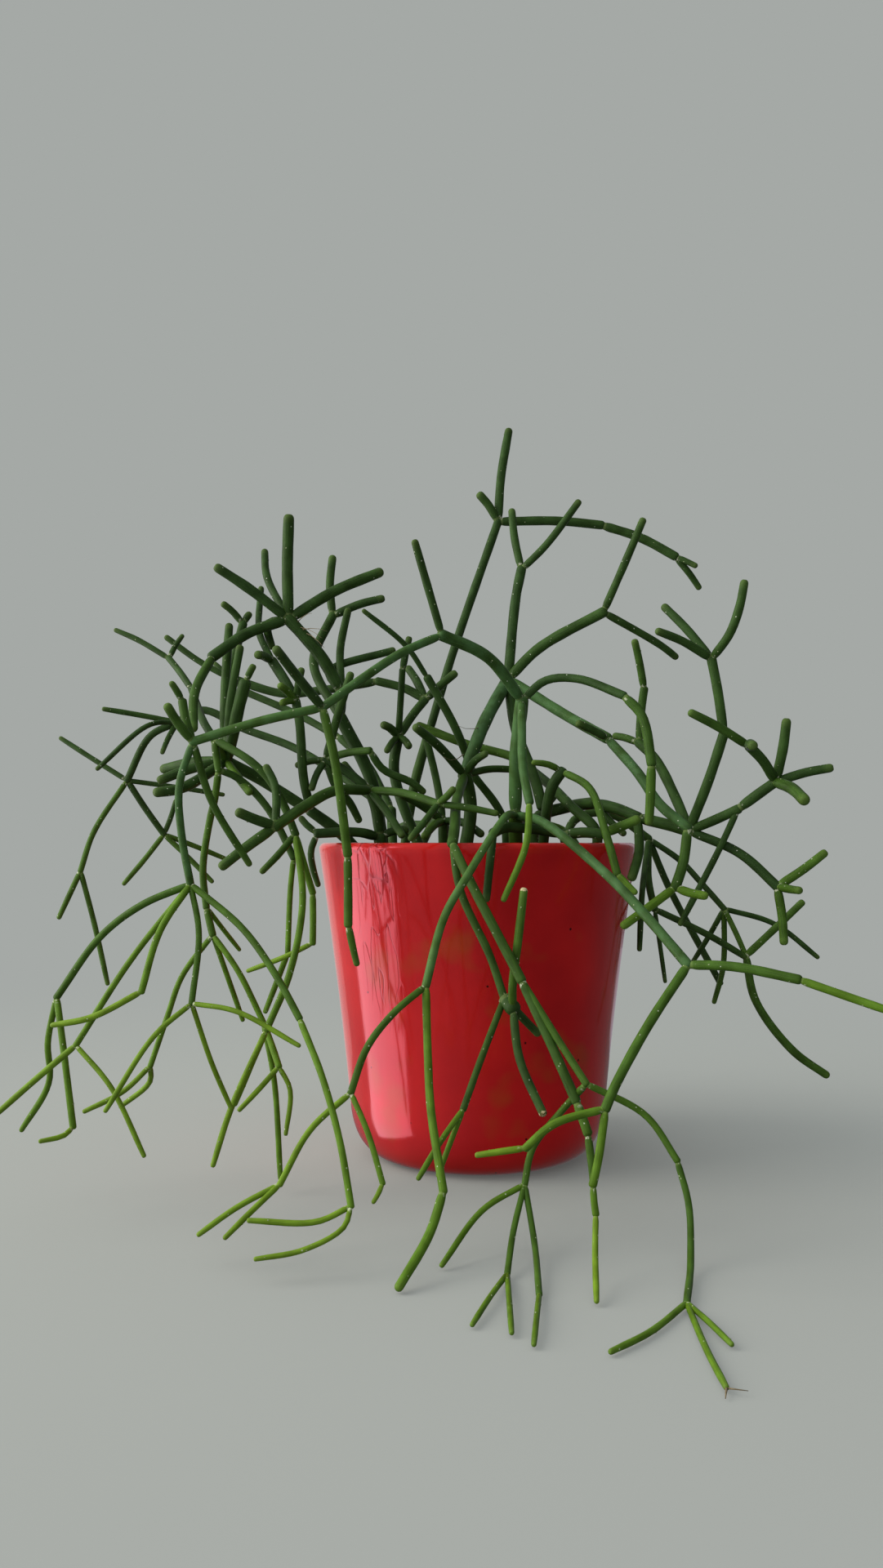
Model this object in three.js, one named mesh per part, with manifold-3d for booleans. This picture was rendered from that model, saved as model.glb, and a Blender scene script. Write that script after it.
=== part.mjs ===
// Potted rhipsalis, a mistletoe cactus with thin jointed stems, in a red glazed pot.
// Millimetres, +Z up. The origin is the middle of the pot's flat underside.

import * as THREE from "three";
import { mergeVertices } from "three/addons/utils/BufferGeometryUtils.js";
import Module from "manifold-3d";

const wasm = await Module();
wasm.setup();

// Driving sizes of the pot
const POT_HEIGHT = 125;
const RIM_RADIUS = 65;
const FOOT_RADIUS = 37;
const CORNER_RADIUS = 52;
const CORNER_TOP = 22;
const CORNER_SWELL = 1.5;
const WALL_SWELL = 3.5;
const WALL_SWELL_HEIGHT = 60;
const WALL = 5;
const FLOOR_THICKNESS = 7;
const POT_SIDES = 40;
const CURVE_POINTS = 3;

// Driving sizes of the soil
const SOIL_EDGE_HEIGHT = 112;
const SOIL_MIDDLE_HEIGHT = 114.5;
const SOIL_GAP = 0.35;
const HOLE_FLOOR = 97.5;
const HOLE_GAP = 0.5;
const HOLE_SIDES = 8;

// Driving sizes of the stems
const ROOT_END = 98;
const ROOT_TOP = 119;
const THICK_STEM = 3.5;
const THICK_STEM_SIDES = 5;
const THIN_STEM_SIDES = 4;
const RING_SPACING = 34;
const FRAME_STEPS = 100;
const JOINT_WAIST = 0.82;
const TIP_WIDTH = 0.58;
const TIP_ROUNDING = 0.7;
const SINK = 0.8;
const ARCH = 0.02;

// Colours and roughnesses of glaze, soil, and old and young stems
const GLAZE_RED = 0xa01414;
const SOIL_BROWN = 0x33261c;
const OLD_GREEN = 0x2f5a2c;
const YOUNG_GREEN = 0x6a9a38;
const GLAZE_ROUGHNESS = 0.15;
const SOIL_ROUGHNESS = 0.95;
const STEM_ROUGHNESS = 0.7;

// The sprays. Each rises from a root, at [x, y] in the soil, and branches at its joints.
// A row is one stem: its name, the stem it grows from, its thickness, the places that it
// passes, and last the place of its end.

const TALL_SPRAY = {
  name: "spray_tall",
  root: [-6, -12],
  colour: OLD_GREEN,
  stems: [
    ["a1", "root", 5.4, [-3, -14, 140], [-6, -18, 154]],
    ["a2", "a1", 5.3, [2, -14, 172], [14, 5, 195]],
    ["a3", "a2", 4.2, [17, 12, 229], [20, 15, 244]],
    ["a4", "a3", 3.4, [17, 18, 257], [16, 22, 271]],
    ["a5", "a3", 3.2, [30, 10, 252], [44, 5, 270]],
    ["a6", "a2", 4.4, [26, 0, 206], [53, -10, 220]],
    ["a7", "a6", 3.2, [60, -14, 239], [67, -18, 256]],
    ["a8", "a6", 3.1, [76, -2, 207], [84, 2, 202]],
    ["a9", "a2", 4.4, [35, -12, 177], [51, -30, 165]],
    ["a10", "a9", 3.8, [59, -45, 151.5], [66, -53, 139], [75.5, -61, 129.5]],
    ["a11", "a9", 3.2, [37, -38, 171]],
    ["a12", "a2", 4.4, [16, -5, 171], [23, -11, 151], [26, -14, 138]],
    ["a13", "a1", 3.6, [-25, -45, 169]],
    ["a14", "a1", 3.2, [3, -30, 160]],
    ["a15", "a1", 3.9, [-9, -42, 141], [-10, -63, 130], [-11, -73, 124]],
    ["a16", "a15", 3.3, [-6, -84, 114], [12, -100, 79]],
    ["a17", "a16", 3.2, [28, -114, 43]],
    ["a18", "a17", 3.0, [31, -118, 34]],
    ["a19", "a18", 2.5, [32, -121, 19]],
    ["a20", "a15", 2.8, [-8, -76, 108], [2, -80, 86], [7, -84, 71]],
    ["a21", "a20", 2.3, [-2, -96, 53], [-8, -106, 39]],
    ["a22", "a21", 1.9, [-15, -116, 32], [-22, -126, 23]],
    ["a23", "a21", 1.8, [-16, -116, 21]],
    ["a45", "a20", 5.4, [10.5, -89, 68.5]],
    ["a24", "a45", 2.9, [9, -92, 77], [11, -94, 94.5], [13, -92, 110]],
    ["a25", "a45", 2.9, [11, -96, 54], [18, -108, 38]],
    ["a26", "a20", 2.9, [19, -80, 59]],
    ["a27", "a16", 2.4, [22, -108, 63], [31, -116, 49]],
    ["a28", "a27", 2.2, [49, -116, 40], [58, -122, 27]],
    ["a29", "a28", 2.1, [60, -126, 16], [58, -138, 4], [51, -166, 1.4]],
    ["a30", "a29", 1.7, [38, -184, 1.4], [26, -196, 1.4]],
    ["a31", "a29", 1.7, [50, -195, 1.4], [50, -215, 1.4]],
    ["a32", "a29", 1.6, [57, -192, 1.4]],
    ["a33", "a27", 2.2, [23, -108, 39], [14, -112, 29], [11, -116, 18]],
    ["a34", "a33", 1.9, [-2, -122, 13], [-15, -138, 1.4]],
    ["a35", "a33", 1.9, [7, -128, 9], [4, -145, 1.4]],
    ["a36", "a35", 1.6, [-7, -180, 1.4]],
    ["a37", "a35", 1.6, [3, -185, 1.4]],
    ["a38", "a33", 1.9, [13, -130, 6], [12, -160, 1.4]],
    ["a39", "a38", 1.6, [8, -192, 1.4]],
    ["a40", "a1", 3.0, [5, -8, 155], [19, -2, 155]],
    ["a41", "a12", 2.6, [30, -6, 142], [33.5, -2, 146]],
    ["a42", "a10", 3.7, [72.5, -62, 118], [69, -62, 107.5]],
    ["a43", "a42", 3.3, [80, -68, 106]],
    ["a44", "a42", 3.2, [49, -68, 95]],
  ],
};

const ARCH_SPRAY = {
  name: "spray_arch",
  root: [14, -32],
  colour: OLD_GREEN,
  stems: [
    ["c1", "root", 5.4, [13, -46, 137]],
    ["c2", "c1", 5.0, [13, -50, 156], [15, -58, 179]],
    ["c3", "c2", 4.2, [2, -70, 191], [-16, -80, 198]],
    ["c4", "c3", 2.8, [-20, -86, 215], [-24, -92, 228]],
    ["c5", "c3", 3.0, [-28, -88, 190], [-41, -96, 180], [-55, -100, 169]],
    ["c6", "c5", 3.2, [-60, -112, 177], [-66, -128, 185]],
    ["c7", "c5", 3.1, [-50, -98, 152], [-46, -92, 120]],
    ["c8", "c7", 2.9, [-46, -91, 96.5]],
    ["c55", "c8", 2.5, [-43, -89, 83.5]],
    ["c9", "c5", 3.1, [-74, -102, 165], [-98, -100, 158]],
    ["c10", "c2", 3.1, [23, -60, 184], [34, -66, 184], [50, -78, 176]],
    ["c11", "c10", 3.4, [55, -80, 169], [58, -82, 151]],
    ["c12", "c11", 3.4, [57, -80, 131]],
    ["c13", "c2", 3.2, [14, -68, 165], [14, -74, 151], [16, -80, 138]],
    ["c14", "c13", 2.4, [14, -86, 124], [6, -88, 105]],
    ["c15", "c1", 2.8, [8, -66, 134], [-6, -92, 114], [-14, -98, 100], [-20, -106, 78]],
    ["c16", "c15", 2.3, [-30, -112, 71], [-38, -116, 61], [-43, -120, 47]],
    ["c17", "c15", 2.6, [-19, -112, 58], [-18, -120, 43], [-14, -134, 21]],
    ["c18", "c17", 2.8, [-18, -140, 12], [-27, -156, 1.4]],
    ["c19", "c16", 2.0, [-55, -122, 37], [-64, -126, 21]],
    ["c20", "c19", 1.8, [-76, -130, 16], [-87, -134, 9]],
    ["c21", "c19", 1.8, [-78, -140, 10]],
    ["c22", "c16", 1.8, [-37, -126, 37], [-32, -132, 23]],
    ["c23", "c22", 1.6, [-35, -136, 19]],
    ["c24", "c1", 3.3, [21.5, -64, 132.5], [41, -92, 114], [51, -104, 102], [63, -118, 86]],
    ["c25", "c24", 3.0, [75, -124, 87], [93, -134, 84]],
    ["c26", "c25", 2.5, [107, -140, 79], [119, -146, 75]],
    ["c27", "c24", 3.0, [48, -126, 69], [37, -134, 53], [33, -138, 46]],
    ["c28", "c27", 2.4, [18, -140, 43], [9, -142, 36]],
    ["c29", "c28", 2.0, [-5, -140, 34]],
    ["c30", "c27", 2.5, [31, -140, 33], [29, -141, 25]],
    ["c31", "c30", 2.1, [30, -142, 17]],
    ["c32", "c31", 1.8, [29, -147, 9], [27, -165, 1.4]],
    ["c33", "c9", 2.6, [-102, -96, 144], [-102, -92, 128], [-99, -90, 110]],
    ["c34", "c9", 2.6, [-92, -92, 139], [-80, -84, 117]],
    ["c35", "c9", 3.2, [-104, -108, 170]],
    ["c36", "c9", 3.0, [-101, -98, 173]],
    ["c37", "c36", 2.6, [-104, -102, 178]],
    ["c38", "c33", 2.5, [-116, -88, 104], [-131, -84, 93], [-148, -78, 71]],
    ["c39", "c38", 2.2, [-151, -76, 56], [-151, -74, 42], [-162, -70, 24]],
    ["c40", "c38", 2.3, [-143, -84, 55], [-138, -88, 29]],
    ["c41", "c40", 1.8, [-140, -92, 28], [-147, -96, 27]],
    ["c42", "c33", 2.3, [-107, -100, 96], [-112, -104, 76]],
    ["c43", "c42", 2.1, [-127, -106, 69], [-141, -104, 66]],
    ["c44", "c33", 2.1, [-118, -94, 86], [-135, -98, 58]],
    ["c45", "c44", 2.1, [-148, -100, 47], [-159, -102, 37]],
    ["c46", "c44", 1.7, [-121, -104, 46], [-109, -108, 25]],
    ["c47", "c33", 2.1, [-95, -96, 95], [-96, -102, 72]],
    ["c48", "c47", 1.8, [-107, -106, 63], [-121, -112, 40]],
    ["c49", "c47", 1.7, [-90, -98, 53], [-84, -94, 37]],
    ["c50", "c47", 1.7, [-80, -108, 71], [-59, -114, 61]],
    ["c51", "c33", 2.3, [-80, -100, 97], [-68, -108, 83], [-59, -114, 69]],
    ["c52", "c51", 2.1, [-51, -124, 53], [-45, -132, 36], [-41, -138, 18]],
    ["c53", "c52", 1.8, [-51, -140, 15], [-71, -142, 16]],
    ["c54", "c52", 1.6, [-43, -142, 14], [-54, -146, 9], [-68, -148, 7]],
  ],
};

const LEFT_SPRAY = {
  name: "spray_left",
  root: [-44, -14],
  colour: YOUNG_GREEN,
  stems: [
    ["d1", "root", 4.6, [-54.5, -19, 128.5], [-67.5, -24, 138.5]],
    ["d2", "d1", 4.5, [-85, -30, 149.5], [-98.5, -38, 157]],
    ["d3", "d2", 3.6, [-99, -32, 172], [-100.5, -20, 197], [-101, -12, 214]],
    ["d4", "d2", 3.4, [-96.5, -34, 178], [-93, -32, 202]],
    ["d5", "d2", 4.6, [-93, -46, 166.5], [-90, -50, 177], [-87, -54, 185.5]],
    ["d39", "d5", 2.8, [-84, -54, 191]],
    ["d7", "d2", 3.6, [-99, -24, 175.5], [-99, -12, 199], [-96.5, -4, 216.5]],
    ["d34", "d7", 3.2, [-94, -2, 220.5]],
    ["d6", "d7", 3.0, [-105, -8, 223.5]],
    ["d8", "d2", 4.2, [-126, -20, 154]],
    ["d9", "d2", 3.8, [-122, -44, 148]],
    ["d10", "d2", 4.0, [-110, -56, 145], [-119, -62, 143]],
    ["d11", "d2", 3.2, [-85, -54, 143]],
    ["d35", "d2", 3.0, [-98.5, -56, 163.5]],
    ["d36", "d35", 3.0, [-104, -46, 170], [-111.5, -24, 180], [-117.5, -6, 188.5]],
    ["d40", "d36", 2.8, [-130.5, 8, 203.5]],
    ["d41", "d40", 2.4, [-143.5, 10, 211], [-154.5, 12, 216]],
    ["d42", "d40", 2.4, [-124.5, 10, 213.5]],
    ["d12", "d35", 3.0, [-84, -60, 154.5], [-77, -60, 147.5], [-72, -59, 138.5], [-67.5, -58, 127]],
    ["d13", "d12", 2.5, [-65, -60, 119], [-61, -60, 106]],
    ["d14", "d12", 2.5, [-64, -68, 104], [-68, -72, 79], [-76, -74, 59]],
    ["d15", "d35", 2.8, [-96.5, -55, 150.5]],
    ["d37", "d15", 2.8, [-92, -52, 150], [-85.5, -50, 145], [-78.5, -49, 136.5], [-69, -50, 118.5]],
    ["d38", "d12", 2.7, [-80, -62, 114]],
    ["d16", "d37", 2.1, [-70.5, -51, 108], [-71, -54, 84]],
    ["d17", "d13", 2.4, [-61, -62, 88]],
    ["d18", "d17", 1.9, [-71, -60, 84], [-86, -54, 78]],
    ["d19", "d16", 2.2, [-79, -56, 63]],
    ["d20", "d14", 2.1, [-86, -84, 35], [-91, -90, 17]],
    ["d21", "d15", 2.7, [-98.5, -53, 140.5], [-100.5, -50, 134.5], [-103.5, -48, 115.5], [-102, -48, 100]],
    ["d22", "d21", 2.8, [-99, -50, 90]],
    ["d23", "d22", 2.1, [-110, -52, 76], [-115, -52, 62], [-121, -54, 43]],
    ["d24", "d23", 2.0, [-130, -56, 35], [-144, -58, 28]],
    ["d25", "d23", 2.0, [-122, -50, 37], [-134, -46, 27]],
    ["d26", "d22", 2.2, [-89, -54, 78], [-79, -56, 59]],
    ["d27", "d26", 2.1, [-75, -58, 39], [-72, -62, 5]],
    ["d28", "d26", 2.4, [-72, -66, 45]],
    ["d29", "d28", 2.0, [-86, -70, 31]],
    ["d30", "d28", 1.8, [-68, -68, 38], [-69, -72, 23]],
    ["d31", "d22", 2.0, [-89, -42, 58]],
    ["d32", "d21", 1.8, [-91, -38, 84]],
    ["d33", "d14", 2.1, [-88, -66, 32]],
    ["e1", "d1", 3.6, [-68, -33, 150], [-69.5, -34, 171], [-71.5, -32, 181]],
    ["e2", "e1", 4.0, [-75.5, -29, 187.5], [-82.5, -23, 198]],
    ["e3", "e2", 2.8, [-88, -13, 208], [-91, 0, 217], [-91.5, 6, 225.5], [-91.5, 10, 234]],
    ["e4", "e2", 3.6, [-86, -36, 197.5]],
    ["e5", "e1", 3.0, [-68.5, -36, 192.5]],
    ["e6", "e1", 3.2, [-76.5, -42, 185]],
    ["e7", "e1", 3.0, [-76, -40, 178]],
  ],
};

const LEFT_BACK_SPRAY = {
  name: "spray_left_back",
  root: [-36, 30],
  colour: OLD_GREEN,
  stems: [
    ["b1", "root", 4.2, [-37, 36, 141]],
    ["b21", "b1", 3.8, [-48.5, 48, 160.5], [-62, 56, 174]],
    ["b2", "b21", 3.5, [-82, 64, 185], [-107.5, 70, 196.5]],
    ["b18", "b2", 2.6, [-123.5, 72, 211]],
    ["b3", "b1", 3.7, [-82, 58, 168.5], [-107.5, 64, 178.5], [-127.5, 66, 187.5], [-140.5, 66, 181]],
    ["b4", "b3", 3.4, [-152, 66, 175], [-163, 66, 153]],
    ["b5", "b4", 2.5, [-196, 70, 175]],
    ["b6", "b4", 2.4, [-119, 80, 148]],
    ["b7", "b4", 2.6, [-176, 60, 130], [-181, 56, 111]],
    ["b8", "b7", 2.6, [-190, 54, 90]],
    ["b9", "b7", 2.5, [-175, 60, 87], [-169, 62, 59]],
    ["b10", "b4", 3.0, [-146, 74, 128]],
    ["b11", "b3", 2.6, [-144, 56, 166]],
    ["b12", "b10", 2.5, [-143, 82, 146]],
    ["b13", "b10", 2.5, [-165, 70, 105]],
    ["b14", "b10", 2.5, [-123, 74, 106]],
    ["b15", "b10", 2.5, [-119, 86, 117]],
    ["b16", "b3", 2.4, [-150, 54, 179], [-172, 48, 158]],
    ["b17", "b3", 2.6, [-172, 56, 187]],
  ],
};

const WHORL_SPRAY = {
  name: "spray_whorl",
  root: [-38, 1.4],
  colour: OLD_GREEN,
  stems: [
    ["f1", "root", 5.2, [-44, 0, 151], [-57, -6, 178]],
    ["f2", "f1", 4.8, [-55, -10, 188]],
    ["f3", "f2", 5.0, [-64, -12, 201], [-78, -14, 217]],
    ["f4", "f3", 4.6, [-77, -16, 236], [-76, -20, 257]],
    ["f5", "f3", 4.1, [-105, -24, 235]],
    ["f6", "f3", 3.2, [-87, -4, 235], [-89, 2, 248]],
    ["f7", "f3", 4.5, [-39, -2, 238]],
    ["f8", "f3", 4.4, [-92, -21, 208.5], [-106, -28, 197]],
    ["f9", "f8", 3.6, [-108, -44, 182], [-106, -56, 166]],
    ["f10", "f1", 4.0, [-69, 10, 202], [-61, 16, 224]],
    ["f11", "f10", 3.6, [-63, 18, 236], [-62, 20, 250]],
    ["f12", "f10", 3.6, [-39, 14, 230]],
    ["f13", "f2", 3.3, [-57, 2, 206], [-54, 6, 224]],
    ["f14", "f2", 3.3, [-61, -2, 196], [-34, 4, 206]],
    ["f21", "f3", 3.4, [-85.5, -11, 214], [-84, -8, 204]],
  ],
};

const RIM_LEFT_SPRAY = {
  name: "spray_rim_left",
  root: [-38, -26],
  colour: OLD_GREEN,
  stems: [
    ["k1", "root", 5.0, [-39, -27, 129]],
    ["k2", "k1", 4.6, [-40, -28, 138], [-43, -32, 147]],
    ["k3", "k2", 4.0, [-55, -52, 144], [-64, -64, 138], [-74, -74, 130]],
    ["k4", "k3", 3.8, [-86, -80, 136]],
    ["k5", "k3", 3.8, [-92, -77, 116]],
    ["k7", "k2", 3.2, [-15, -54, 139]],
    ["k8", "k7", 2.7, [6, -60, 135.5]],
    ["k9", "k7", 2.8, [-10, -60, 145]],
    ["k10", "k7", 2.7, [-26, -72, 126]],
    ["k11", "k2", 3.2, [-29, -46, 127]],
    ["k12", "k2", 3.6, [-61, -30, 158]],
    ["k13", "k12", 2.8, [-72, -27, 155]],
    ["k14", "k12", 3.0, [-41, -42, 160]],
    ["k15", "k12", 3.2, [-56, -36, 169], [-49, -42, 190]],
    ["k16", "k12", 2.8, [-65, -34, 145]],
    ["k17", "k1", 3.8, [-46.5, -33, 129], [-63.5, -38, 128.5]],
    ["k24", "k17", 2.6, [-64.5, -37, 122], [-64, -34, 115], [-62, -32, 108]],
    ["k23", "k1", 3.4, [-27.5, -24, 130]],
    ["k18", "k12", 3.2, [-56, -28, 147], [-51, -24, 141], [-47, -20, 133]],
    ["k19", "k2", 3.2, [-50, -22, 152], [-54, -20, 157]],
    ["k20", "k14", 3.0, [-37, -38, 153], [-26, -36, 148], [-21, -34, 144]],
    ["k21", "k17", 2.8, [-69, -36, 135]],
    ["k22", "k3", 3.0, [-74, -68, 145], [-78, -66, 153]],
  ],
};

const MIDDLE_SPRAY = {
  name: "spray_middle",
  root: [-22, 18],
  colour: OLD_GREEN,
  stems: [
    ["n1", "root", 4.6, [-35, 18, 155], [-33, 16, 172]],
    ["n2", "n1", 3.9, [-40, 8, 175]],
    ["n3", "n1", 3.0, [-38, 6, 163]],
    ["n4", "n1", 3.3, [-28, 9, 165]],
    ["n5", "n1", 3.8, [-21, 22, 188]],
    ["n6", "n5", 3.8, [-30, 24, 192], [-44, 26, 196]],
    ["n7", "n6", 3.8, [-69, 30, 192], [-85, 32, 191], [-111, 34, 199]],
    ["n8", "n7", 2.8, [-123, 34, 206], [-138, 34, 217]],
    ["n9", "n5", 3.8, [-8, 20, 199]],
    ["n10", "n5", 3.8, [-30, 32, 203]],
    ["n11", "n1", 2.8, [-31, 2, 198]],
    ["n12", "n11", 3.0, [-28, 0, 211]],
  ],
};

const STRAIGHT_SPRAY = {
  name: "spray_straight",
  root: [-32, 40],
  colour: OLD_GREEN,
  stems: [
    ["s1", "root", 4.4, [-27, 40, 150], [-20, 42, 176]],
    ["s2", "s1", 3.9, [-9, 46, 213], [12, 52, 275]],
    ["s3", "s2", 4.1, [13, 54, 295], [17, 56, 319]],
    ["s4", "s2", 4.0, [2, 48, 286]],
    ["s5", "s2", 4.2, [39, 56, 275], [62, 60, 274]],
    ["s6", "s5", 4.2, [79, 60, 268], [96, 58, 258]],
    ["s7", "s6", 2.9, [104, 54, 253]],
    ["s8", "s6", 3.1, [107, 62, 244]],
  ],
};

const DARK_SPRAY = {
  name: "spray_dark",
  root: [13, 12],
  colour: OLD_GREEN,
  stems: [
    ["l1", "root", 3.4, [11, 10, 136], [-2, 4, 154]],
    ["l2", "l1", 3.5, [-9, -6, 172], [-21, -12, 193]],
    ["l3", "l2", 2.2, [-29, -18, 204], [-46, -26, 217]],
  ],
};

const SHORT_SPRAY = {
  name: "spray_short",
  root: [-14, 8],
  colour: OLD_GREEN,
  stems: [
    ["m1", "root", 4.2, [-14, 6, 136]],
    ["m2", "m1", 3.2, [-17, 8, 152], [-22, 6, 172]],
    ["m3", "m1", 3.4, [-22, -14, 127]],
    ["m4", "m1", 3.4, [-5, -4, 133], [2, -12, 128]],
    ["m5", "m1", 3.8, [-23.5, 0, 141], [-32.5, -5, 145.5]],
  ],
};

const INNER_RIGHT_SPRAY = {
  name: "spray_inner_right",
  root: [45, -30],
  colour: OLD_GREEN,
  stems: [
    ["g1", "root", 4.0, [45, -32, 129.5], [36.5, -25, 139], [29, -7, 149], [22.5, 8, 156]],
    ["g2", "g1", 3.8, [16.5, 17, 161.5], [-4, 24, 168], [-26, 30, 177]],
  ],
};

const FRONT_RIGHT_SPRAY = {
  name: "spray_front_right",
  root: [25, -18],
  colour: OLD_GREEN,
  stems: [
    ["h1", "root", 4.2, [28, -30, 146], [33, -32, 154]],
    ["h2", "h1", 2.7, [20, -34, 156]],
    ["h3", "h1", 3.0, [41, -42, 146], [45, -62, 127], [48, -68, 113]],
    ["h4", "h3", 2.6, [54, -72, 107]],
  ],
};

const RIM_FRONT_SPRAY = {
  name: "spray_rim_front",
  root: [35, -32],
  colour: OLD_GREEN,
  stems: [
    ["p1", "root", 4.4, [31, -46, 129]],
    ["p2", "p1", 3.8, [20.5, -47, 130], [14, -52, 130.5], [8.5, -57, 130.5], [3, -62, 128]],
    ["p3", "p2", 3.0, [3, -72, 124], [1, -70, 104]],
    ["p4", "p1", 4.0, [46, -51, 128]],
    ["p5", "p4", 3.8, [58, -57, 134]],
  ],
};

const RIGHT_SPRAY = {
  name: "spray_right",
  root: [24, -2],
  colour: YOUNG_GREEN,
  stems: [
    ["r1", "root", 4.8, [24, -3, 134.5], [36.5, -6, 139.5], [47.5, -19, 141]],
    ["r2", "r1", 4.6, [62, -35, 134]],
    ["r3", "r2", 4.5, [80, -44, 129]],
    ["r4", "r2", 3.7, [59.5, -44, 121.5], [55.5, -50, 111]],
    ["r5", "r3", 3.8, [85, -48, 148], [91, -50, 167]],
    ["r6", "r5", 3.6, [86, -50, 195]],
    ["r7", "r6", 3.3, [70, -40, 216]],
    ["r8", "r6", 3.2, [64, -58, 203]],
    ["r9", "r6", 3.3, [91.5, -57, 202], [94.5, -60, 211.5], [96, -62, 221]],
    ["r11", "r3", 3.7, [96, -53, 138]],
    ["r12", "r11", 3.9, [108, -60, 148]],
    ["r13", "r12", 3.7, [110, -64, 170]],
    ["r14", "r12", 3.4, [126, -66, 152]],
    ["r15", "r12", 4.2, [109, -88, 139]],
    ["r16", "r12", 3.7, [94, -70, 160]],
    ["r17", "r16", 3.2, [72, -76, 171]],
    ["r18", "r16", 3.8, [92, -86, 158]],
    ["r19", "r11", 2.5, [88, -50, 122], [74, -46, 94]],
    ["r20", "r3", 3.6, [96, -50, 121], [109, -56, 108]],
    ["r21", "r20", 3.3, [125, -60, 122]],
    ["r22", "r20", 3.1, [113, -68, 108]],
    ["r23", "r20", 3.3, [109, -60, 88]],
    ["r27", "r3", 4.0, [76, -34, 141], [70, -22, 158], [64, -14, 166]],
    ["r28", "r27", 3.4, [66, -14, 179], [67, -16, 188]],
    ["r29", "r28", 3.1, [62, -22, 206]],
    ["r30", "r27", 3.2, [56, -4, 169]],
    ["r31", "r1", 2.9, [52, -24, 133], [57, -28, 128]],
  ],
};

const THIN_RIGHT_SPRAY = {
  name: "spray_thin_right",
  root: [38, 30],
  colour: OLD_GREEN,
  stems: [
    ["t1", "root", 3.8, [44, 33, 135], [60, 37, 138], [79, 40, 126]],
    ["t2", "t1", 2.7, [92, 40, 117], [100, 38, 108], [111, 36, 95]],
    ["t3", "t2", 2.4, [133, 38, 89], [152, 36, 74]],
    ["t4", "t2", 2.4, [118, 28, 75]],
    ["t5", "t2", 2.5, [111, 42, 70], [107, 44, 53]],
    ["t6", "t2", 2.4, [98, 46, 71]],
    ["t7", "t1", 3.2, [76, 30, 108], [78, 26, 95]],
    ["t8", "t7", 2.9, [101, 26, 85], [118, 28, 75]],
    ["t9", "t4", 3.2, [142, 24, 100]],
    ["t10", "t4", 3.5, [121, 26, 57], [136, 24, 36], [151, 22, 25]],
    ["t11", "t1", 2.6, [71, 18, 103], [69, 14, 79]],
    ["t12", "t7", 2.0, [81, 20, 65]],
    ["t13", "t1", 3.1, [89, 50, 104], [113, 54, 60]],
  ],
};

const BACK_LEFT_SPRAY = {
  name: "spray_back_left",
  root: [-12, 46],
  colour: OLD_GREEN,
  stems: [
    ["v1", "root", 4.6, [-14, 56, 135], [-20, 74, 134]],
    ["v2", "v1", 4.0, [-26, 88, 118], [-30, 94, 92]],
    ["v3", "v2", 3.4, [-40, 98, 72], [-46, 100, 50]],
    ["v4", "v2", 3.2, [-26, 104, 74], [-20, 110, 52]],
    ["v5", "v4", 2.8, [-24, 114, 36], [-34, 120, 20]],
    ["v6", "v4", 2.8, [-10, 114, 34]],
    ["v7", "v3", 2.8, [-58, 104, 34]],
    ["v8", "v1", 3.4, [-36, 88, 132], [-50, 96, 114]],
    ["v9", "v8", 2.8, [-58, 104, 94]],
  ],
};

const BACK_RIGHT_SPRAY = {
  name: "spray_back_right",
  root: [18, 44],
  colour: OLD_GREEN,
  stems: [
    ["w1", "root", 4.4, [20, 55, 136], [26, 74, 136]],
    ["w2", "w1", 3.8, [34, 90, 122], [38, 96, 98]],
    ["w3", "w2", 3.2, [46, 102, 80], [50, 104, 58]],
    ["w4", "w2", 3.0, [30, 104, 78], [26, 108, 56]],
    ["w5", "w3", 2.8, [58, 106, 40], [60, 110, 26]],
    ["w6", "w4", 2.6, [18, 112, 38]],
    ["w7", "w4", 2.6, [34, 112, 36]],
    ["w8", "w1", 3.2, [46, 84, 130], [58, 90, 112]],
  ],
};

const SPRAYS = [
  TALL_SPRAY,
  ARCH_SPRAY,
  LEFT_SPRAY,
  LEFT_BACK_SPRAY,
  WHORL_SPRAY,
  RIM_LEFT_SPRAY,
  MIDDLE_SPRAY,
  STRAIGHT_SPRAY,
  DARK_SPRAY,
  SHORT_SPRAY,
  INNER_RIGHT_SPRAY,
  FRONT_RIGHT_SPRAY,
  RIM_FRONT_SPRAY,
  RIGHT_SPRAY,
  THIN_RIGHT_SPRAY,
  BACK_LEFT_SPRAY,
  BACK_RIGHT_SPRAY,
];

// A closed geometry as a solid that can be joined and cut
function solidFrom(geometry) {
  const bare = geometry.clone();
  bare.deleteAttribute("normal");
  bare.deleteAttribute("uv");
  const merged = mergeVertices(bare, 1e-4);
  const corners = merged.index.array;
  const triVerts = [];
  for (let i = 0; i < corners.length; i += 3) {
    const [a, b, c] = corners.slice(i, i + 3);
    if (a !== b && b !== c && c !== a) {
      triVerts.push(a, b, c);
    }
  }
  return new wasm.Manifold(new wasm.Mesh({
    numProp: 3,
    vertProperties: new Float32Array(merged.attributes.position.array),
    triVerts: new Uint32Array(triVerts),
  }));
}

// A joined or cut solid as a geometry again
function geometryFrom(solid) {
  const mesh = solid.getMesh();
  const geometry = new THREE.BufferGeometry();
  geometry.setAttribute("position", new THREE.BufferAttribute(new Float32Array(mesh.vertProperties), 3));
  geometry.setIndex(new THREE.BufferAttribute(new Uint32Array(mesh.triVerts), 1));
  geometry.computeVertexNormals();
  return geometry;
}

function namedMesh(name, geometry, colour, roughness) {
  const material = new THREE.MeshStandardMaterial({ color: colour, roughness, metalness: 0 });
  const mesh = new THREE.Mesh(geometry, material);
  mesh.name = name;
  return mesh;
}

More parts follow.
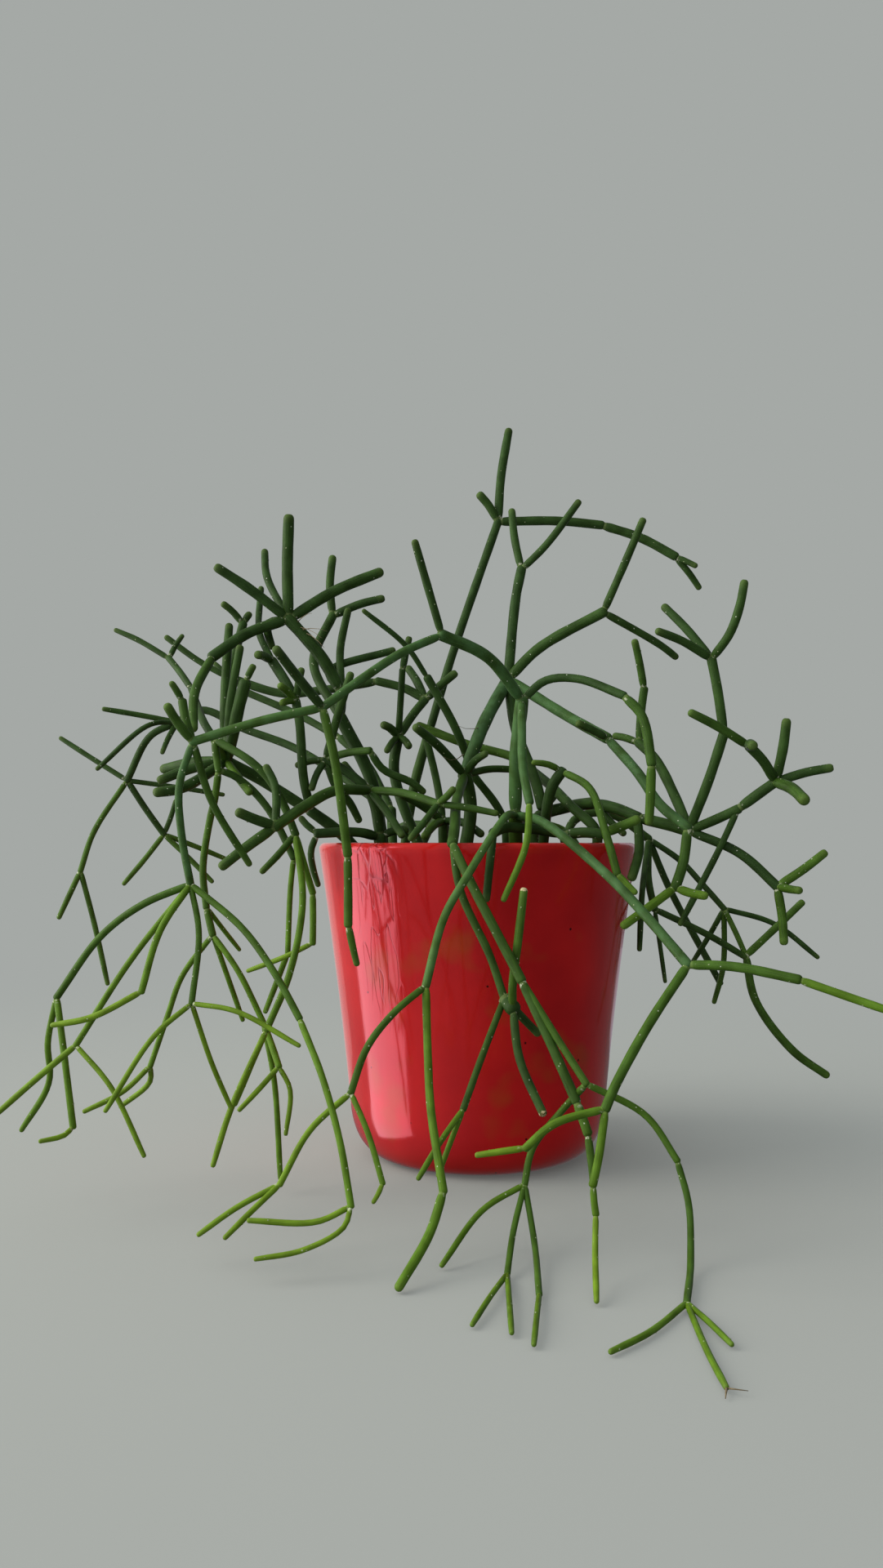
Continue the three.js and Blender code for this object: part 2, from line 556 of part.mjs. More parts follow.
// An outline in radius and height, turned round the upright axis
function turned(outline) {
  const lathe = new THREE.LatheGeometry(outline.getPoints(CURVE_POINTS), POT_SIDES);
  lathe.rotateX(Math.PI / 2);
  return solidFrom(lathe);
}

// The pot: flat foot, round bottom corner, a wall that flares a little, and a round rim
const RIM_ROUND = WALL / 2;
const INNER_FOOT = 36;
const INNER_BEND = 46;
const INNER_CORNER = CORNER_RADIUS - WALL;
const INNER_CORNER_TOP = 24;
const INNER_SOIL_RADIUS = 59.2;

function pot() {
  const outline = new THREE.Path();
  outline.moveTo(0, 0);
  outline.lineTo(FOOT_RADIUS, 0);
  outline.quadraticCurveTo(CORNER_RADIUS - CORNER_SWELL, CORNER_SWELL, CORNER_RADIUS, CORNER_TOP);
  outline.quadraticCurveTo(
    CORNER_RADIUS + WALL_SWELL,
    WALL_SWELL_HEIGHT,
    RIM_RADIUS,
    POT_HEIGHT - RIM_ROUND,
  );
  outline.absarc(RIM_RADIUS - RIM_ROUND, POT_HEIGHT - RIM_ROUND, RIM_ROUND, 0, Math.PI, false);
  outline.lineTo(INNER_SOIL_RADIUS, SOIL_EDGE_HEIGHT);
  outline.lineTo(INNER_CORNER, INNER_CORNER_TOP);
  outline.quadraticCurveTo(INNER_BEND, FLOOR_THICKNESS, INNER_FOOT, FLOOR_THICKNESS);
  outline.lineTo(0, FLOOR_THICKNESS);
  return namedMesh("pot", geometryFrom(turned(outline)), GLAZE_RED, GLAZE_ROUGHNESS);
}

// The soil fills the pot, clear of its wall, with a plain hole round each root
function soil() {
  const outline = new THREE.Path();
  outline.moveTo(0, FLOOR_THICKNESS + SOIL_GAP);
  outline.lineTo(INNER_FOOT - SOIL_GAP, FLOOR_THICKNESS + SOIL_GAP);
  outline.quadraticCurveTo(
    INNER_BEND - SOIL_GAP,
    FLOOR_THICKNESS + SOIL_GAP,
    INNER_CORNER - SOIL_GAP,
    INNER_CORNER_TOP,
  );
  outline.lineTo(INNER_SOIL_RADIUS - SOIL_GAP, SOIL_EDGE_HEIGHT);
  outline.quadraticCurveTo(INNER_SOIL_RADIUS / 2, SOIL_MIDDLE_HEIGHT, 0, SOIL_MIDDLE_HEIGHT);
  let body = turned(outline);
  for (const { root, stems } of SPRAYS) {
    const radius = stems[0][2] / 2 + HOLE_GAP;
    const depth = POT_HEIGHT - HOLE_FLOOR;
    const drill = new THREE.CylinderGeometry(radius, radius, depth, HOLE_SIDES);
    drill.rotateX(Math.PI / 2);
    drill.translate(root[0], root[1], HOLE_FLOOR + depth / 2);
    body = body.subtract(solidFrom(drill));
  }
  return namedMesh("soil", geometryFrom(body), SOIL_BROWN, SOIL_ROUGHNESS);
}

// One stem: a round of few sides swept along its curve, narrow at its joint, blunt at its tip
function stemSolid(curve, thickness, bends, isTip) {
  const radius = thickness / 2;
  const sides = thickness >= THICK_STEM ? THICK_STEM_SIDES : THIN_STEM_SIDES;
  const length = curve.getLength();
  const steps = Math.max(bends, Math.round(length / RING_SPACING), 1);
  const fullTo = isTip ? 1 - (TIP_ROUNDING * radius) / length : 1;
  const stations = [[0, JOINT_WAIST]];
  for (let i = 1; i <= steps; i += 1) {
    stations.push([(fullTo * i) / steps, 1]);
  }
  if (isTip) {
    stations.push([1, TIP_WIDTH]);
  }

  const frames = curve.computeFrenetFrames(FRAME_STEPS, false);
  const positions = [];
  for (const [along, width] of stations) {
    const centre = curve.getPointAt(along);
    const across = frames.normals[Math.round(along * FRAME_STEPS)];
    const up = frames.binormals[Math.round(along * FRAME_STEPS)];
    for (let k = 0; k < sides; k += 1) {
      const angle = (2 * Math.PI * k) / sides;
      const spoke = across.clone().multiplyScalar(Math.cos(angle));
      spoke.addScaledVector(up, Math.sin(angle));
      positions.push(...centre.clone().addScaledVector(spoke, radius * width));
    }
  }

  const faces = [];
  const last = stations.length - 1;
  for (let ring = 0; ring < last; ring += 1) {
    for (let k = 0; k < sides; k += 1) {
      const a = ring * sides + k;
      const b = ring * sides + ((k + 1) % sides);
      faces.push(a, b, b + sides, a, b + sides, a + sides);
    }
  }
  for (let k = 1; k < sides - 1; k += 1) {
    faces.push(0, k + 1, k);
    faces.push(last * sides, last * sides + k, last * sides + k + 1);
  }
  const geometry = new THREE.BufferGeometry();
  geometry.setAttribute("position", new THREE.Float32BufferAttribute(positions, 3));
  geometry.setIndex(faces);
  return solidFrom(geometry);
}

// The middle of a stem that passes no place of its own: a low arch, highest on a level run
function archPlace(start, end) {
  const middle = start.clone().lerp(end, 0.5);
  const level = Math.hypot(end.x - start.x, end.y - start.y);
  middle.z += ARCH * level;
  return middle;
}

// One spray: its root, and each stem sunk into the end of the stem that it grows from
function spray({ name, root, colour, stems }) {
  const rootTop = new THREE.Vector3(root[0], root[1], ROOT_TOP);
  const rootLine = new THREE.LineCurve3(new THREE.Vector3(root[0], root[1], ROOT_END), rootTop);
  const joints = { root: { end: rootTop, heading: new THREE.Vector3(0, 0, 1), thickness: stems[0][2] } };
  const parents = new Set(stems.map((row) => row[1]));
  const solids = [stemSolid(rootLine, stems[0][2], 1, false)];
  for (const [stem, parent, thickness, ...places] of stems) {
    const from = joints[parent];
    const start = from.end.clone().addScaledVector(from.heading, (-SINK * from.thickness) / 2);
    const passed = places.map((place) => new THREE.Vector3(...place));
    if (passed.length === 1) {
      passed.unshift(archPlace(from.end, passed[0]));
    }
    const curve = new THREE.CatmullRomCurve3([start, ...passed], false, "centripetal");
    solids.push(stemSolid(curve, thickness, places.length, !parents.has(stem)));
    joints[stem] = { end: passed.at(-1), heading: curve.getTangentAt(1), thickness };
  }
  return namedMesh(name, geometryFrom(wasm.Manifold.union(solids)), colour, STEM_ROUGHNESS);
}

const plant = new THREE.Group();
plant.add(pot());
plant.add(soil());
for (const each of SPRAYS) {
  plant.add(spray(each));
}

export default plant;
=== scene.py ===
# Potted rhipsalis, a mistletoe cactus, in a red glazed pot. These are the looks of the packed
# part, in metres, +Z up, in the part's own frame, with the origin under the middle of the pot.

import bisect
import math
import random

import bmesh
import bpy
from mathutils import Matrix, Vector, noise


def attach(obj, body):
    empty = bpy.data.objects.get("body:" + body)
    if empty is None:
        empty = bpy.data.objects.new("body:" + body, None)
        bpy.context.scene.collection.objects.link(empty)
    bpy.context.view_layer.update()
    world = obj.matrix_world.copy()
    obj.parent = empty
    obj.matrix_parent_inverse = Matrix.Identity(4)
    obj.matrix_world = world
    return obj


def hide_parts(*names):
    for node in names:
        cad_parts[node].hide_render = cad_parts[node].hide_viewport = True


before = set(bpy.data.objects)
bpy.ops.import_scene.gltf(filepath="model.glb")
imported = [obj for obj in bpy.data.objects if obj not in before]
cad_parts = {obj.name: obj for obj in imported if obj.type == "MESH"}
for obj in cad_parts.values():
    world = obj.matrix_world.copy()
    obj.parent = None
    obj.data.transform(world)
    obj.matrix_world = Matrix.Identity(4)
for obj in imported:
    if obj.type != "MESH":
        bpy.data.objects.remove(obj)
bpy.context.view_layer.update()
scene = bpy.context.scene
MM = 0.001

# The camera
# It stands half a metre in front of the pot, level with the rim and a little to the left, and
# looks up by nearly three degrees, as the photograph does.

CAMERA_PLACE = (-0.0147, -0.490, 0.125)
CAMERA_TURN = 92.84
LENS = 27.19
SENSOR_WIDTH = 36.0

camera_data = bpy.data.cameras.new("camera")
camera_data.sensor_width = SENSOR_WIDTH
camera_data.lens = LENS
camera = bpy.data.objects.new("camera", camera_data)
camera.location = CAMERA_PLACE
camera.rotation_euler = (math.radians(CAMERA_TURN), 0.0, 0.0)
scene.collection.objects.link(camera)
scene.camera = camera
scene.view_settings.view_transform = "Standard"

# The floor and backdrop
# Matt paper: a floor disc, and round it a sheet that curves up into a wall on every side, lit
# evenly from behind, so that no edge shows behind the plant. It keeps no light from the plant.

DISC_RADIUS = 0.6
FLOOR_RADIUS = 1.7
WALL_RADIUS = 2.6
WALL_TOP = 2.4
PAPER_STEPS = 96
GLOW_START = -0.25
GLOW_END = 0.8
FLOOR_GREY = "#8f928e"
WALL_GREY = "#a5a9a6"


def paint(hex_code):
    """An sRGB hex colour as the linear colour that a shader reads."""
    channels = [int(hex_code[i:i + 2], 16) / 255 for i in (1, 3, 5)]
    linear = [c / 12.92 if c <= 0.04045 else ((c + 0.055) / 1.055) ** 2.4 for c in channels]
    return (*linear, 1.0)


def add(tree, kind, inputs=(), output=None, **settings):
    """Adds a node. Its inputs are numbers, colours or the outputs that feed them. Gives back the
    output of that name, or else the first one in use."""
    node = tree.nodes.new("ShaderNode" + kind)
    for name, value in settings.items():
        setattr(node, name, value)
    for socket, value in dict(inputs).items():
        if isinstance(value, bpy.types.NodeSocket):
            tree.links.new(value, node.inputs[socket])
        else:
            node.inputs[socket].default_value = value
    return node.outputs[output] if output else next((o for o in node.outputs if o.enabled), None)


def new_material(name):
    """A material with its node tree and its shader, and the place on a piece for its patterns."""
    material = bpy.data.materials.new(name)
    material.use_nodes = True
    tree = material.node_tree
    return material, tree, tree.nodes["Principled BSDF"], add(tree, "TexCoord", output="Object")


def new_piece(name, bm, *materials):
    """An object from a bmesh, smooth all over, with its place in its mesh."""
    mesh = bpy.data.meshes.new(name)
    for face in bm.faces:
        face.smooth = True
    bm.to_mesh(mesh)
    bm.free()
    for material in materials:
        mesh.materials.append(material)
    piece = bpy.data.objects.new(name, mesh)
    scene.collection.objects.link(piece)
    return piece


def spun(outline, steps):
    """A bmesh of an outline of (radius, height) places turned once round the upright axis."""
    bm = bmesh.new()
    line = [bm.verts.new((radius, 0.0, height)) for radius, height in outline]
    edges = [bm.edges.new(pair) for pair in zip(line, line[1:])]
    bmesh.ops.spin(bm, geom=line + edges, axis=(0, 0, 1), cent=(0, 0, 0), angle=math.tau,
                   steps=steps, use_merge=True)
    bmesh.ops.remove_doubles(bm, verts=bm.verts, dist=1e-4)
    bmesh.ops.recalc_face_normals(bm, faces=bm.faces)
    return bm


def arc(centre, radius, turns):
    """Places on a circle at these turns, in degrees."""
    return [(centre[0] + radius * math.cos(math.radians(turn)),
             centre[1] + radius * math.sin(math.radians(turn))) for turn in turns]


# Uncoated paper: matt, with no gloss, and a glow that takes over from the floor's own shade
paper, tree, shader, place = new_material("backdrop_paper")
away = add(tree, "VectorMath", {0: place}, operation="LENGTH")
far = add(tree, "MapRange", {"Value": away, "From Min": GLOW_START, "From Max": GLOW_END},
          interpolation_type="SMOOTHSTEP")
colour = add(tree, "Mix", {0: far, 6: paint(FLOOR_GREY), 7: paint("#000000")}, data_type="RGBA")
tree.links.new(colour, shader.inputs["Base Color"])
tree.links.new(far, shader.inputs["Emission Strength"])
shader.inputs["Emission Color"].default_value = paint(WALL_GREY)
shader.inputs["Roughness"].default_value = 0.9
shader.inputs["Specular IOR Level"].default_value = 0.0

cove_radius = WALL_RADIUS - FLOOR_RADIUS
cove = arc((FLOOR_RADIUS, cove_radius), cove_radius, range(-90, 1, 6))
floor = new_piece("floor", spun([(0.0, 0.0), (DISC_RADIUS, 0.0)], PAPER_STEPS), paper)
sheet_outline = [(DISC_RADIUS, 0.0), *cove, (WALL_RADIUS, WALL_TOP)]
backdrop = new_piece("backdrop", spun(sheet_outline, PAPER_STEPS), paper)
backdrop.visible_diffuse = False
backdrop.visible_shadow = False
for sheet in (floor, backdrop):
    sheet.data.flip_normals()
    sheet.visible_glossy = False

# The light
# Daylight from a wide window on the left. The room is brightest on that side and falls off
# round to the right, the wall behind the plant gives some of the light back, and a soft lamp in
# the window draws the shadows.

WINDOW_SIDE = (-0.88, -0.23, 0.42)
WINDOW_FALL_OFF = -0.35
WALL_SIDE = (0.22, 0.97, 0.10)
ROOM_DARK = 0.22
ROOM_WALL = 0.55
ROOM_BRIGHT = 2.0
ROOM_COLOUR = "#e9edee"
ROOM_IN_GLOSS = 0.22
LAMP_PLACE = (-1.24, -0.24, 0.75)
LAMP_HEADING = (1.24, 0.24, -0.63)
LAMP_SIZE = (0.9, 1.3)
LAMP_SPREAD = 110
LAMP_POWER = 10.8
LAMP_COLOUR = "#fff8ee"

scene.world = bpy.data.worlds.new("room")
scene.world.use_nodes = True
tree = scene.world.node_tree
way = add(tree, "TexCoord", output="Generated")
facing = add(tree, "VectorMath", {0: way, 1: WINDOW_SIDE}, operation="DOT_PRODUCT")
window = add(tree, "MapRange", {"Value": facing, "From Min": WINDOW_FALL_OFF, "To Min": ROOM_DARK,
                                "To Max": ROOM_BRIGHT}, interpolation_type="SMOOTHSTEP")
behind = add(tree, "VectorMath", {0: way, 1: WALL_SIDE}, operation="DOT_PRODUCT")
wall = add(tree, "MapRange", {"Value": behind, "To Max": ROOM_WALL})
room = add(tree, "Math", {0: window, 1: wall}, operation="ADD")
mirrored = add(tree, "LightPath", output="Is Glossy Ray")
gloss = add(tree, "MapRange", {"Value": mirrored, "To Min": 1.0, "To Max": ROOM_IN_GLOSS})
strength = add(tree, "Math", {0: room, 1: gloss}, operation="MULTIPLY")
background = tree.nodes["Background"]
background.inputs["Color"].default_value = paint(ROOM_COLOUR)
tree.links.new(strength, background.inputs["Strength"])

lamp_data = bpy.data.lights.new("window", "AREA")
lamp_data.shape = "RECTANGLE"
lamp_data.size, lamp_data.size_y = LAMP_SIZE
lamp_data.spread = math.radians(LAMP_SPREAD)
lamp_data.energy = LAMP_POWER
lamp_data.color = paint(LAMP_COLOUR)[:3]
lamp = bpy.data.objects.new("window", lamp_data)
lamp.visible_glossy = False
lamp.location = LAMP_PLACE
lamp.rotation_euler = Vector(LAMP_HEADING).to_track_quat("-Z", "Y").to_euler()
scene.collection.objects.link(lamp)


def light_card(name, first, second, bottom, top, colour, strength):
    """An upright glowing card between two places, which only glossy reflections see."""
    material = bpy.data.materials.new(name)
    material.use_nodes = True
    tree = material.node_tree
    tree.nodes.clear()
    glow = add(tree, "Emission", {"Color": paint(colour), "Strength": strength})
    add(tree, "OutputMaterial", {"Surface": glow})
    bm = bmesh.new()
    corners = [(*first, bottom), (*second, bottom), (*second, top), (*first, top)]
    bmesh.ops.contextual_create(bm, geom=[bm.verts.new(corner) for corner in corners])
    card = new_piece(name, bm, material)
    card.visible_camera = False
    card.visible_diffuse = False
    card.visible_shadow = False
    card.visible_transmission = False


# The window as the glaze mirrors it, the pale wall beside it, and a dim far window. The wall of
# the pot leans out, so what it mirrors lies below it
light_card("window_card", (-0.925, -0.45), (-0.965, 0.35), -0.58, 0.9, "#fceaf6", 3.1)
light_card("wall_card", (-0.68, 0.73), (-0.12, 0.99), -0.20, 0.9, "#fff6f4", 0.6)
light_card("far_window_card", (0.55, 0.84), (0.15, 0.99), -0.15, 0.9, "#f4f2ff", 0.45)

# The pot
# Thrown stoneware, dipped in a deep red glossy glaze that has run down the wall in fine upright
# ripples and crawled into veins under the rim. It is flat underneath. Sizes are in millimetres.

POT_HEIGHT = 125.0
RIM_RADIUS = 65.0
FOOT_RADIUS = 37.0
CORNER_RADIUS = 52.0
CORNER_TOP = 22.0
CORNER_SWELL = 1.5
WALL_SWELL = 3.5
WALL_SWELL_HEIGHT = 60.0
WALL = 5.0
RIM_ROUND = WALL / 2
FLOOR_THICKNESS = 7.0
INNER_FOOT = 36.0
INNER_BEND = 46.0
INNER_CORNER_TOP = 24.0
INNER_SOIL_RADIUS = 59.2
SOIL_EDGE_HEIGHT = 112.0
POT_STEPS = 288


def clamp(share):
    """A share kept between nothing and all."""
    return min(max(share, 0.0), 1.0)


def bend(start, control, end, count):
    """Places along a curve from start to end that leans towards its control place."""
    steps = [(i + 1) / count for i in range(count)]
    return [tuple((1 - t) ** 2 * a + 2 * t * (1 - t) * b + t * t * c
                  for a, b, c in zip(start, control, end)) for t in steps]


def straight(start, end, count):
    """Places along a straight line, without its start."""
    return bend(start, [(a + b) / 2 for a, b in zip(start, end)], end, count)


foot = (FOOT_RADIUS, 0.0)
corner = (CORNER_RADIUS, CORNER_TOP)
rim_outside = (RIM_RADIUS, POT_HEIGHT - RIM_ROUND)
rim_arc = arc((RIM_RADIUS - RIM_ROUND, POT_HEIGHT - RIM_ROUND), RIM_ROUND, range(15, 181, 15))
soil_line = (INNER_SOIL_RADIUS, SOIL_EDGE_HEIGHT)
inner_corner = (CORNER_RADIUS - WALL, INNER_CORNER_TOP)
inner_foot = (INNER_FOOT, FLOOR_THICKNESS)
pot_outline = [
    (0.0, 0.0),
    *straight((0.0, 0.0), foot, 6),
    *bend(foot, (CORNER_RADIUS - CORNER_SWELL, CORNER_SWELL), corner, 16),
    *bend(corner, (CORNER_RADIUS + WALL_SWELL, WALL_SWELL_HEIGHT), rim_outside, 56),
    *rim_arc,
    *straight(rim_arc[-1], soil_line, 6),
    *straight(soil_line, inner_corner, 14),
    *bend(inner_corner, (INNER_BEND, FLOOR_THICKNESS), inner_foot, 8),
    *straight(inner_foot, (0.0, FLOOR_THICKNESS), 4),
]
bm = spun(pot_outline, POT_STEPS)

# The glaze's own relief: a slow unevenness of the wall, and fine upright runs that fade out
# towards the rim and the foot. The flat underside stays as it is
WALL_UNEVENNESS = 0.16
WALL_WAVES = 1.6
WALL_WAVE_HEIGHT = 45.0
RUN_DEPTH = 0.03
RUNS_ROUND = 24.0
RUN_LENGTH = 90.0
RUN_TOP = 117.0
RUN_TOP_FADE = 12.0
RUN_FOOT_FADE = 20.0
UNDERSIDE = 0.5
INSIDE_FOOT = 30.0
for vert in bm.verts:
    x, y, z = vert.co
    radius = math.hypot(x, y)
    if radius > INSIDE_FOOT and z > UNDERSIDE:
        east, north = x / radius, y / radius
        slow = noise.noise((east * WALL_WAVES, north * WALL_WAVES, z / WALL_WAVE_HEIGHT))
        runs = noise.noise((east * RUNS_ROUND, north * RUNS_ROUND, z / RUN_LENGTH))
        faded = clamp((RUN_TOP - z) / RUN_TOP_FADE) * clamp(z / RUN_FOOT_FADE)
        inward = WALL_UNEVENNESS * (0.5 + 0.5 * slow) + RUN_DEPTH * (0.5 + 0.5 * runs) * faded
        vert.co.x -= inward * east
        vert.co.y -= inward * north
bmesh.ops.scale(bm, vec=(MM, MM, MM), verts=bm.verts)


def every(spacing):
    """The scale of a pattern whose features lie so many millimetres apart."""
    return 1 / (spacing * MM)


# Deep red glaze over stoneware: a glassy coat with a soft depth of colour under it, a little
# thinner and more orange on the rim. A paler orange band round the foot is painted light: the
# glaze is drawn there as if the window lit it brightly
GLAZE_RED = "#b81a1a"
GLAZE_DEEP = "#a01416"
GLAZE_THIN_RIM_AND_LIT_FOOT = "#cf3a20"
GLAZE_OLIVE = "#7d4a12"
GLAZE_PINHOLE = "#3c0806"
GLAZE_VEIN = "#6c0a10"
GLOSS_TINT = "#ff8a94"
RIM_EDGE = (4.5, 0.5)
# Heights in millimetres of the painted light band round the foot, paler and more orange
LIT_FOOT_BAND = (12.0, 2.0)
glaze, tree, shader, place = new_material("red_stoneware_glaze")
height = add(tree, "SeparateXYZ", {0: place}, "Z")
cloud = add(tree, "TexNoise", {"Vector": place, "Scale": every(35.71), "Detail": 3.0})
depth = add(tree, "MapRange", {"Value": cloud, "From Min": 0.35, "From Max": 0.68})
rim_edge = add(tree, "MapRange", {"Value": height, "From Min": (POT_HEIGHT - RIM_EDGE[0]) * MM,
                                  "From Max": (POT_HEIGHT - RIM_EDGE[1]) * MM})
# The band round the foot is painted light, not thinner glaze: paler and more orange, as if lit
painted_lit_foot = add(tree, "MapRange", {"Value": height, "From Min": LIT_FOOT_BAND[0] * MM,
                                   "From Max": LIT_FOOT_BAND[1] * MM})
edges = add(tree, "Math", {0: rim_edge, 1: painted_lit_foot}, operation="MAXIMUM")
thin_rim_and_lit_foot = add(tree, "Math", {0: edges, 1: 0.15}, operation="MULTIPLY")
# A few faint olive clouds two centimetres apart
clouds = add(tree, "TexNoise", {"Vector": place, "Scale": every(21.74), "Detail": 2.0})
olive = add(tree, "MapRange", {"Value": clouds, "From Min": 0.60, "From Max": 0.72, "To Max": 0.34})
# Pinholes: dark specks about a millimetre wide, more than a centimetre apart
pins = add(tree, "TexVoronoi", {"Vector": place, "Scale": every(14.29)})
pinhole = add(tree, "MapRange", {"Value": pins, "From Min": 0.045, "From Max": 0.025})
# Upright runs about two millimetres wide all round
upright = add(tree, "Mapping", {"Vector": place, "Scale": (1.0, 1.0, 0.07)})
runs = add(tree, "TexNoise", {"Vector": upright, "Scale": every(2.381), "Detail": 2.0})
# Where the glaze is thick, in front on the left, it has crawled into fine veins under the rim,
# in loops about five millimetres wide
VEIN_SPOT = (-0.0405, -0.0490, 0.117)
VEIN_REACH = 0.014
VEIN_WANDER = (0.0035, 0.0035, 0.006)
vein_away = add(tree, "VectorMath", {0: place, 1: VEIN_SPOT}, operation="DISTANCE")
vein_patch = add(tree, "MapRange", {"Value": vein_away, "From Min": VEIN_REACH,
                                    "From Max": VEIN_REACH * 0.6})
wander = add(tree, "TexNoise", {"Vector": place, "Scale": every(9.091), "Detail": 0.0}, "Color")
crawl_place = add(tree, "VectorMath", {0: wander, 1: VEIN_WANDER, 2: place},
                  operation="MULTIPLY_ADD")
crawl_long = add(tree, "Mapping", {"Vector": crawl_place, "Scale": (1.0, 1.0, 0.45)})
veins = add(tree, "TexVoronoi", {"Vector": crawl_long, "Scale": every(5.263)},
            feature="DISTANCE_TO_EDGE")
vein = add(tree, "MapRange", {"Value": veins, "From Min": 0.085, "From Max": 0.0})
vein_line = add(tree, "Math", {0: vein, 1: vein_patch}, operation="MULTIPLY")
# Long wavy lines run down from the veins. They are the level lines of a noise whose grain is five
# millimetres across and drawn out upright
LINE_SPOT = (-0.0385, -0.0473, 0.0264)
LINE_REACH = 0.0125
LINE_WANDER = (0.0012, 0.0012, 0.0)
squat = add(tree, "Mapping", {"Vector": place, "Scale": (1.0, 1.0, 0.3)})
line_away = add(tree, "VectorMath", {0: squat, 1: LINE_SPOT}, operation="DISTANCE")
line_patch = add(tree, "MapRange", {"Value": line_away, "From Min": LINE_REACH,
                                    "From Max": LINE_REACH * 0.5})
swayed = add(tree, "VectorMath", {0: wander, 1: LINE_WANDER, 2: place},
             operation="MULTIPLY_ADD")
long_place = add(tree, "Mapping", {"Vector": swayed, "Scale": (1.0, 1.0, 0.025)})
folds = add(tree, "TexNoise", {"Vector": long_place, "Scale": every(4.762), "Detail": 0.0})
fold = add(tree, "Math", {0: folds, 1: 4.5}, operation="MULTIPLY")
fold = add(tree, "Math", {0: fold, 1: 0.5}, operation="PINGPONG")
fold_edge = add(tree, "MapRange", {"Value": fold, "From Min": 0.07, "From Max": 0.0})
fold_line = add(tree, "Math", {0: fold_edge, 1: line_patch}, operation="MULTIPLY")
lines = add(tree, "Math", {0: vein_line, 1: fold_line}, operation="MAXIMUM")
line_tint = add(tree, "Math", {0: lines, 1: 0.75}, operation="MULTIPLY")
# The shades lie over each other from the body of the glaze to its veins
glaze_shades = [(depth, GLAZE_RED), (thin_rim_and_lit_foot, GLAZE_THIN_RIM_AND_LIT_FOOT), (olive, GLAZE_OLIVE),
                (pinhole, GLAZE_PINHOLE), (line_tint, GLAZE_VEIN)]
colour = paint(GLAZE_DEEP)
for share, hex_code in glaze_shades:
    colour = add(tree, "Mix", {0: share, 6: colour, 7: paint(hex_code)}, data_type="RGBA")
tree.links.new(colour, shader.inputs["Base Color"])
soft_runs = add(tree, "Math", {0: runs, 1: 0.35}, operation="MULTIPLY")
relief = add(tree, "Math", {0: soft_runs, 1: lines}, operation="SUBTRACT")
bump = add(tree, "Bump", {"Height": relief, "Strength": 0.32, "Distance": 0.0003})
tree.links.new(bump, shader.inputs["Normal"])
shader.inputs["Roughness"].default_value = 0.12
shader.inputs["IOR"].default_value = 1.9
shader.inputs["Specular Tint"].default_value = paint(GLOSS_TINT)
shader.inputs["Coat Weight"].default_value = 0.12
shader.inputs["Coat Roughness"].default_value = 0.03
pot = new_piece("glazed_pot", bm, glaze)
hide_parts("pot")
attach(pot, "root")

# The potting mix
# Dark peat with bark chips, clods and a few white grains of perlite. It fills the pot to a
# finger's breadth under the rim, a little higher in the middle, and its top is rough.

SOIL_GAP = 0.35
SOIL_MIDDLE_HEIGHT = 114.5
SOIL_STEPS = 120
SOIL_UNEVENNESS = 1.1
SOIL_SETTLED = 0.4
CLOD_SPACING = 7
CRUMB_SPACING = 2
RIM_CLEARANCE = 3.5
# Crumbs of peat, flat chips of bark and grains of perlite: how many, how long and how flat
LUMPS = [(420, (1.2, 3.4), 0.7), (110, (4.0, 8.5), 0.3), (38, (1.4, 2.8), 0.85)]
inner_edge = INNER_SOIL_RADIUS - SOIL_GAP
soil_bottom = FLOOR_THICKNESS + SOIL_GAP
soil_foot = (INNER_FOOT - SOIL_GAP, soil_bottom)
soil_edge = (inner_edge, SOIL_EDGE_HEIGHT)
soil_outline = [
    (0.0, soil_bottom),
    soil_foot,
    *bend(soil_foot, (INNER_BEND - SOIL_GAP, soil_bottom),
          (CORNER_RADIUS - WALL - SOIL_GAP, INNER_CORNER_TOP), 4),
    soil_edge,
    *bend(soil_edge, (inner_edge / 2, SOIL_MIDDLE_HEIGHT), (0.0, SOIL_MIDDLE_HEIGHT), 34),
]
bm = spun(soil_outline, SOIL_STEPS)
for vert in bm.verts:
    if vert.co.z > SOIL_EDGE_HEIGHT - 1:
        coarse = noise.noise(vert.co / CLOD_SPACING)
        fine = noise.noise(vert.co / CRUMB_SPACING)
        vert.co.z += SOIL_UNEVENNESS * (coarse + 0.5 * fine) - SOIL_SETTLED


def surface_height(x, y):
    """The height of the potting mix under a place."""
    share = min(math.hypot(x, y) / inner_edge, 1.0)
    return SOIL_MIDDLE_HEIGHT - (SOIL_MIDDLE_HEIGHT - SOIL_EDGE_HEIGHT) * share ** 2


def scatter(rng, bm, count, size, flatness, material_index):
    """Small lumps strewn over the top of the potting mix, sunk a little into it."""
    for _ in range(count):
        away = (inner_edge - RIM_CLEARANCE) * math.sqrt(rng.random())
        around = rng.uniform(0, math.tau)
        x, y = away * math.cos(around), away * math.sin(around)
        length = rng.uniform(*size)
        spot = Vector((x, y, surface_height(x, y) + length * flatness * 0.25))
        turn = Matrix.Rotation(rng.uniform(0, math.tau), 4, "Z")
        lean = Matrix.Rotation(rng.uniform(-0.5, 0.5), 4, rng.choice("XY"))
        shape = Matrix.Diagonal((length, length * rng.uniform(0.45, 0.8), length * flatness, 1))
        lump = bmesh.ops.create_icosphere(bm, subdivisions=1, radius=0.5,
                                          matrix=Matrix.Translation(spot) @ turn @ lean @ shape)
        for vert in lump["verts"]:
            vert.co += Vector(rng.uniform(-0.09, 0.09) * length for _ in range(3))
            for face in vert.link_faces:
                face.material_index = material_index


soil_rng = random.Random(11)
for material_index, (count, size, flatness) in enumerate(LUMPS):
    scatter(soil_rng, bm, count, size, flatness, material_index)
bmesh.ops.scale(bm, vec=(MM, MM, MM), verts=bm.verts)


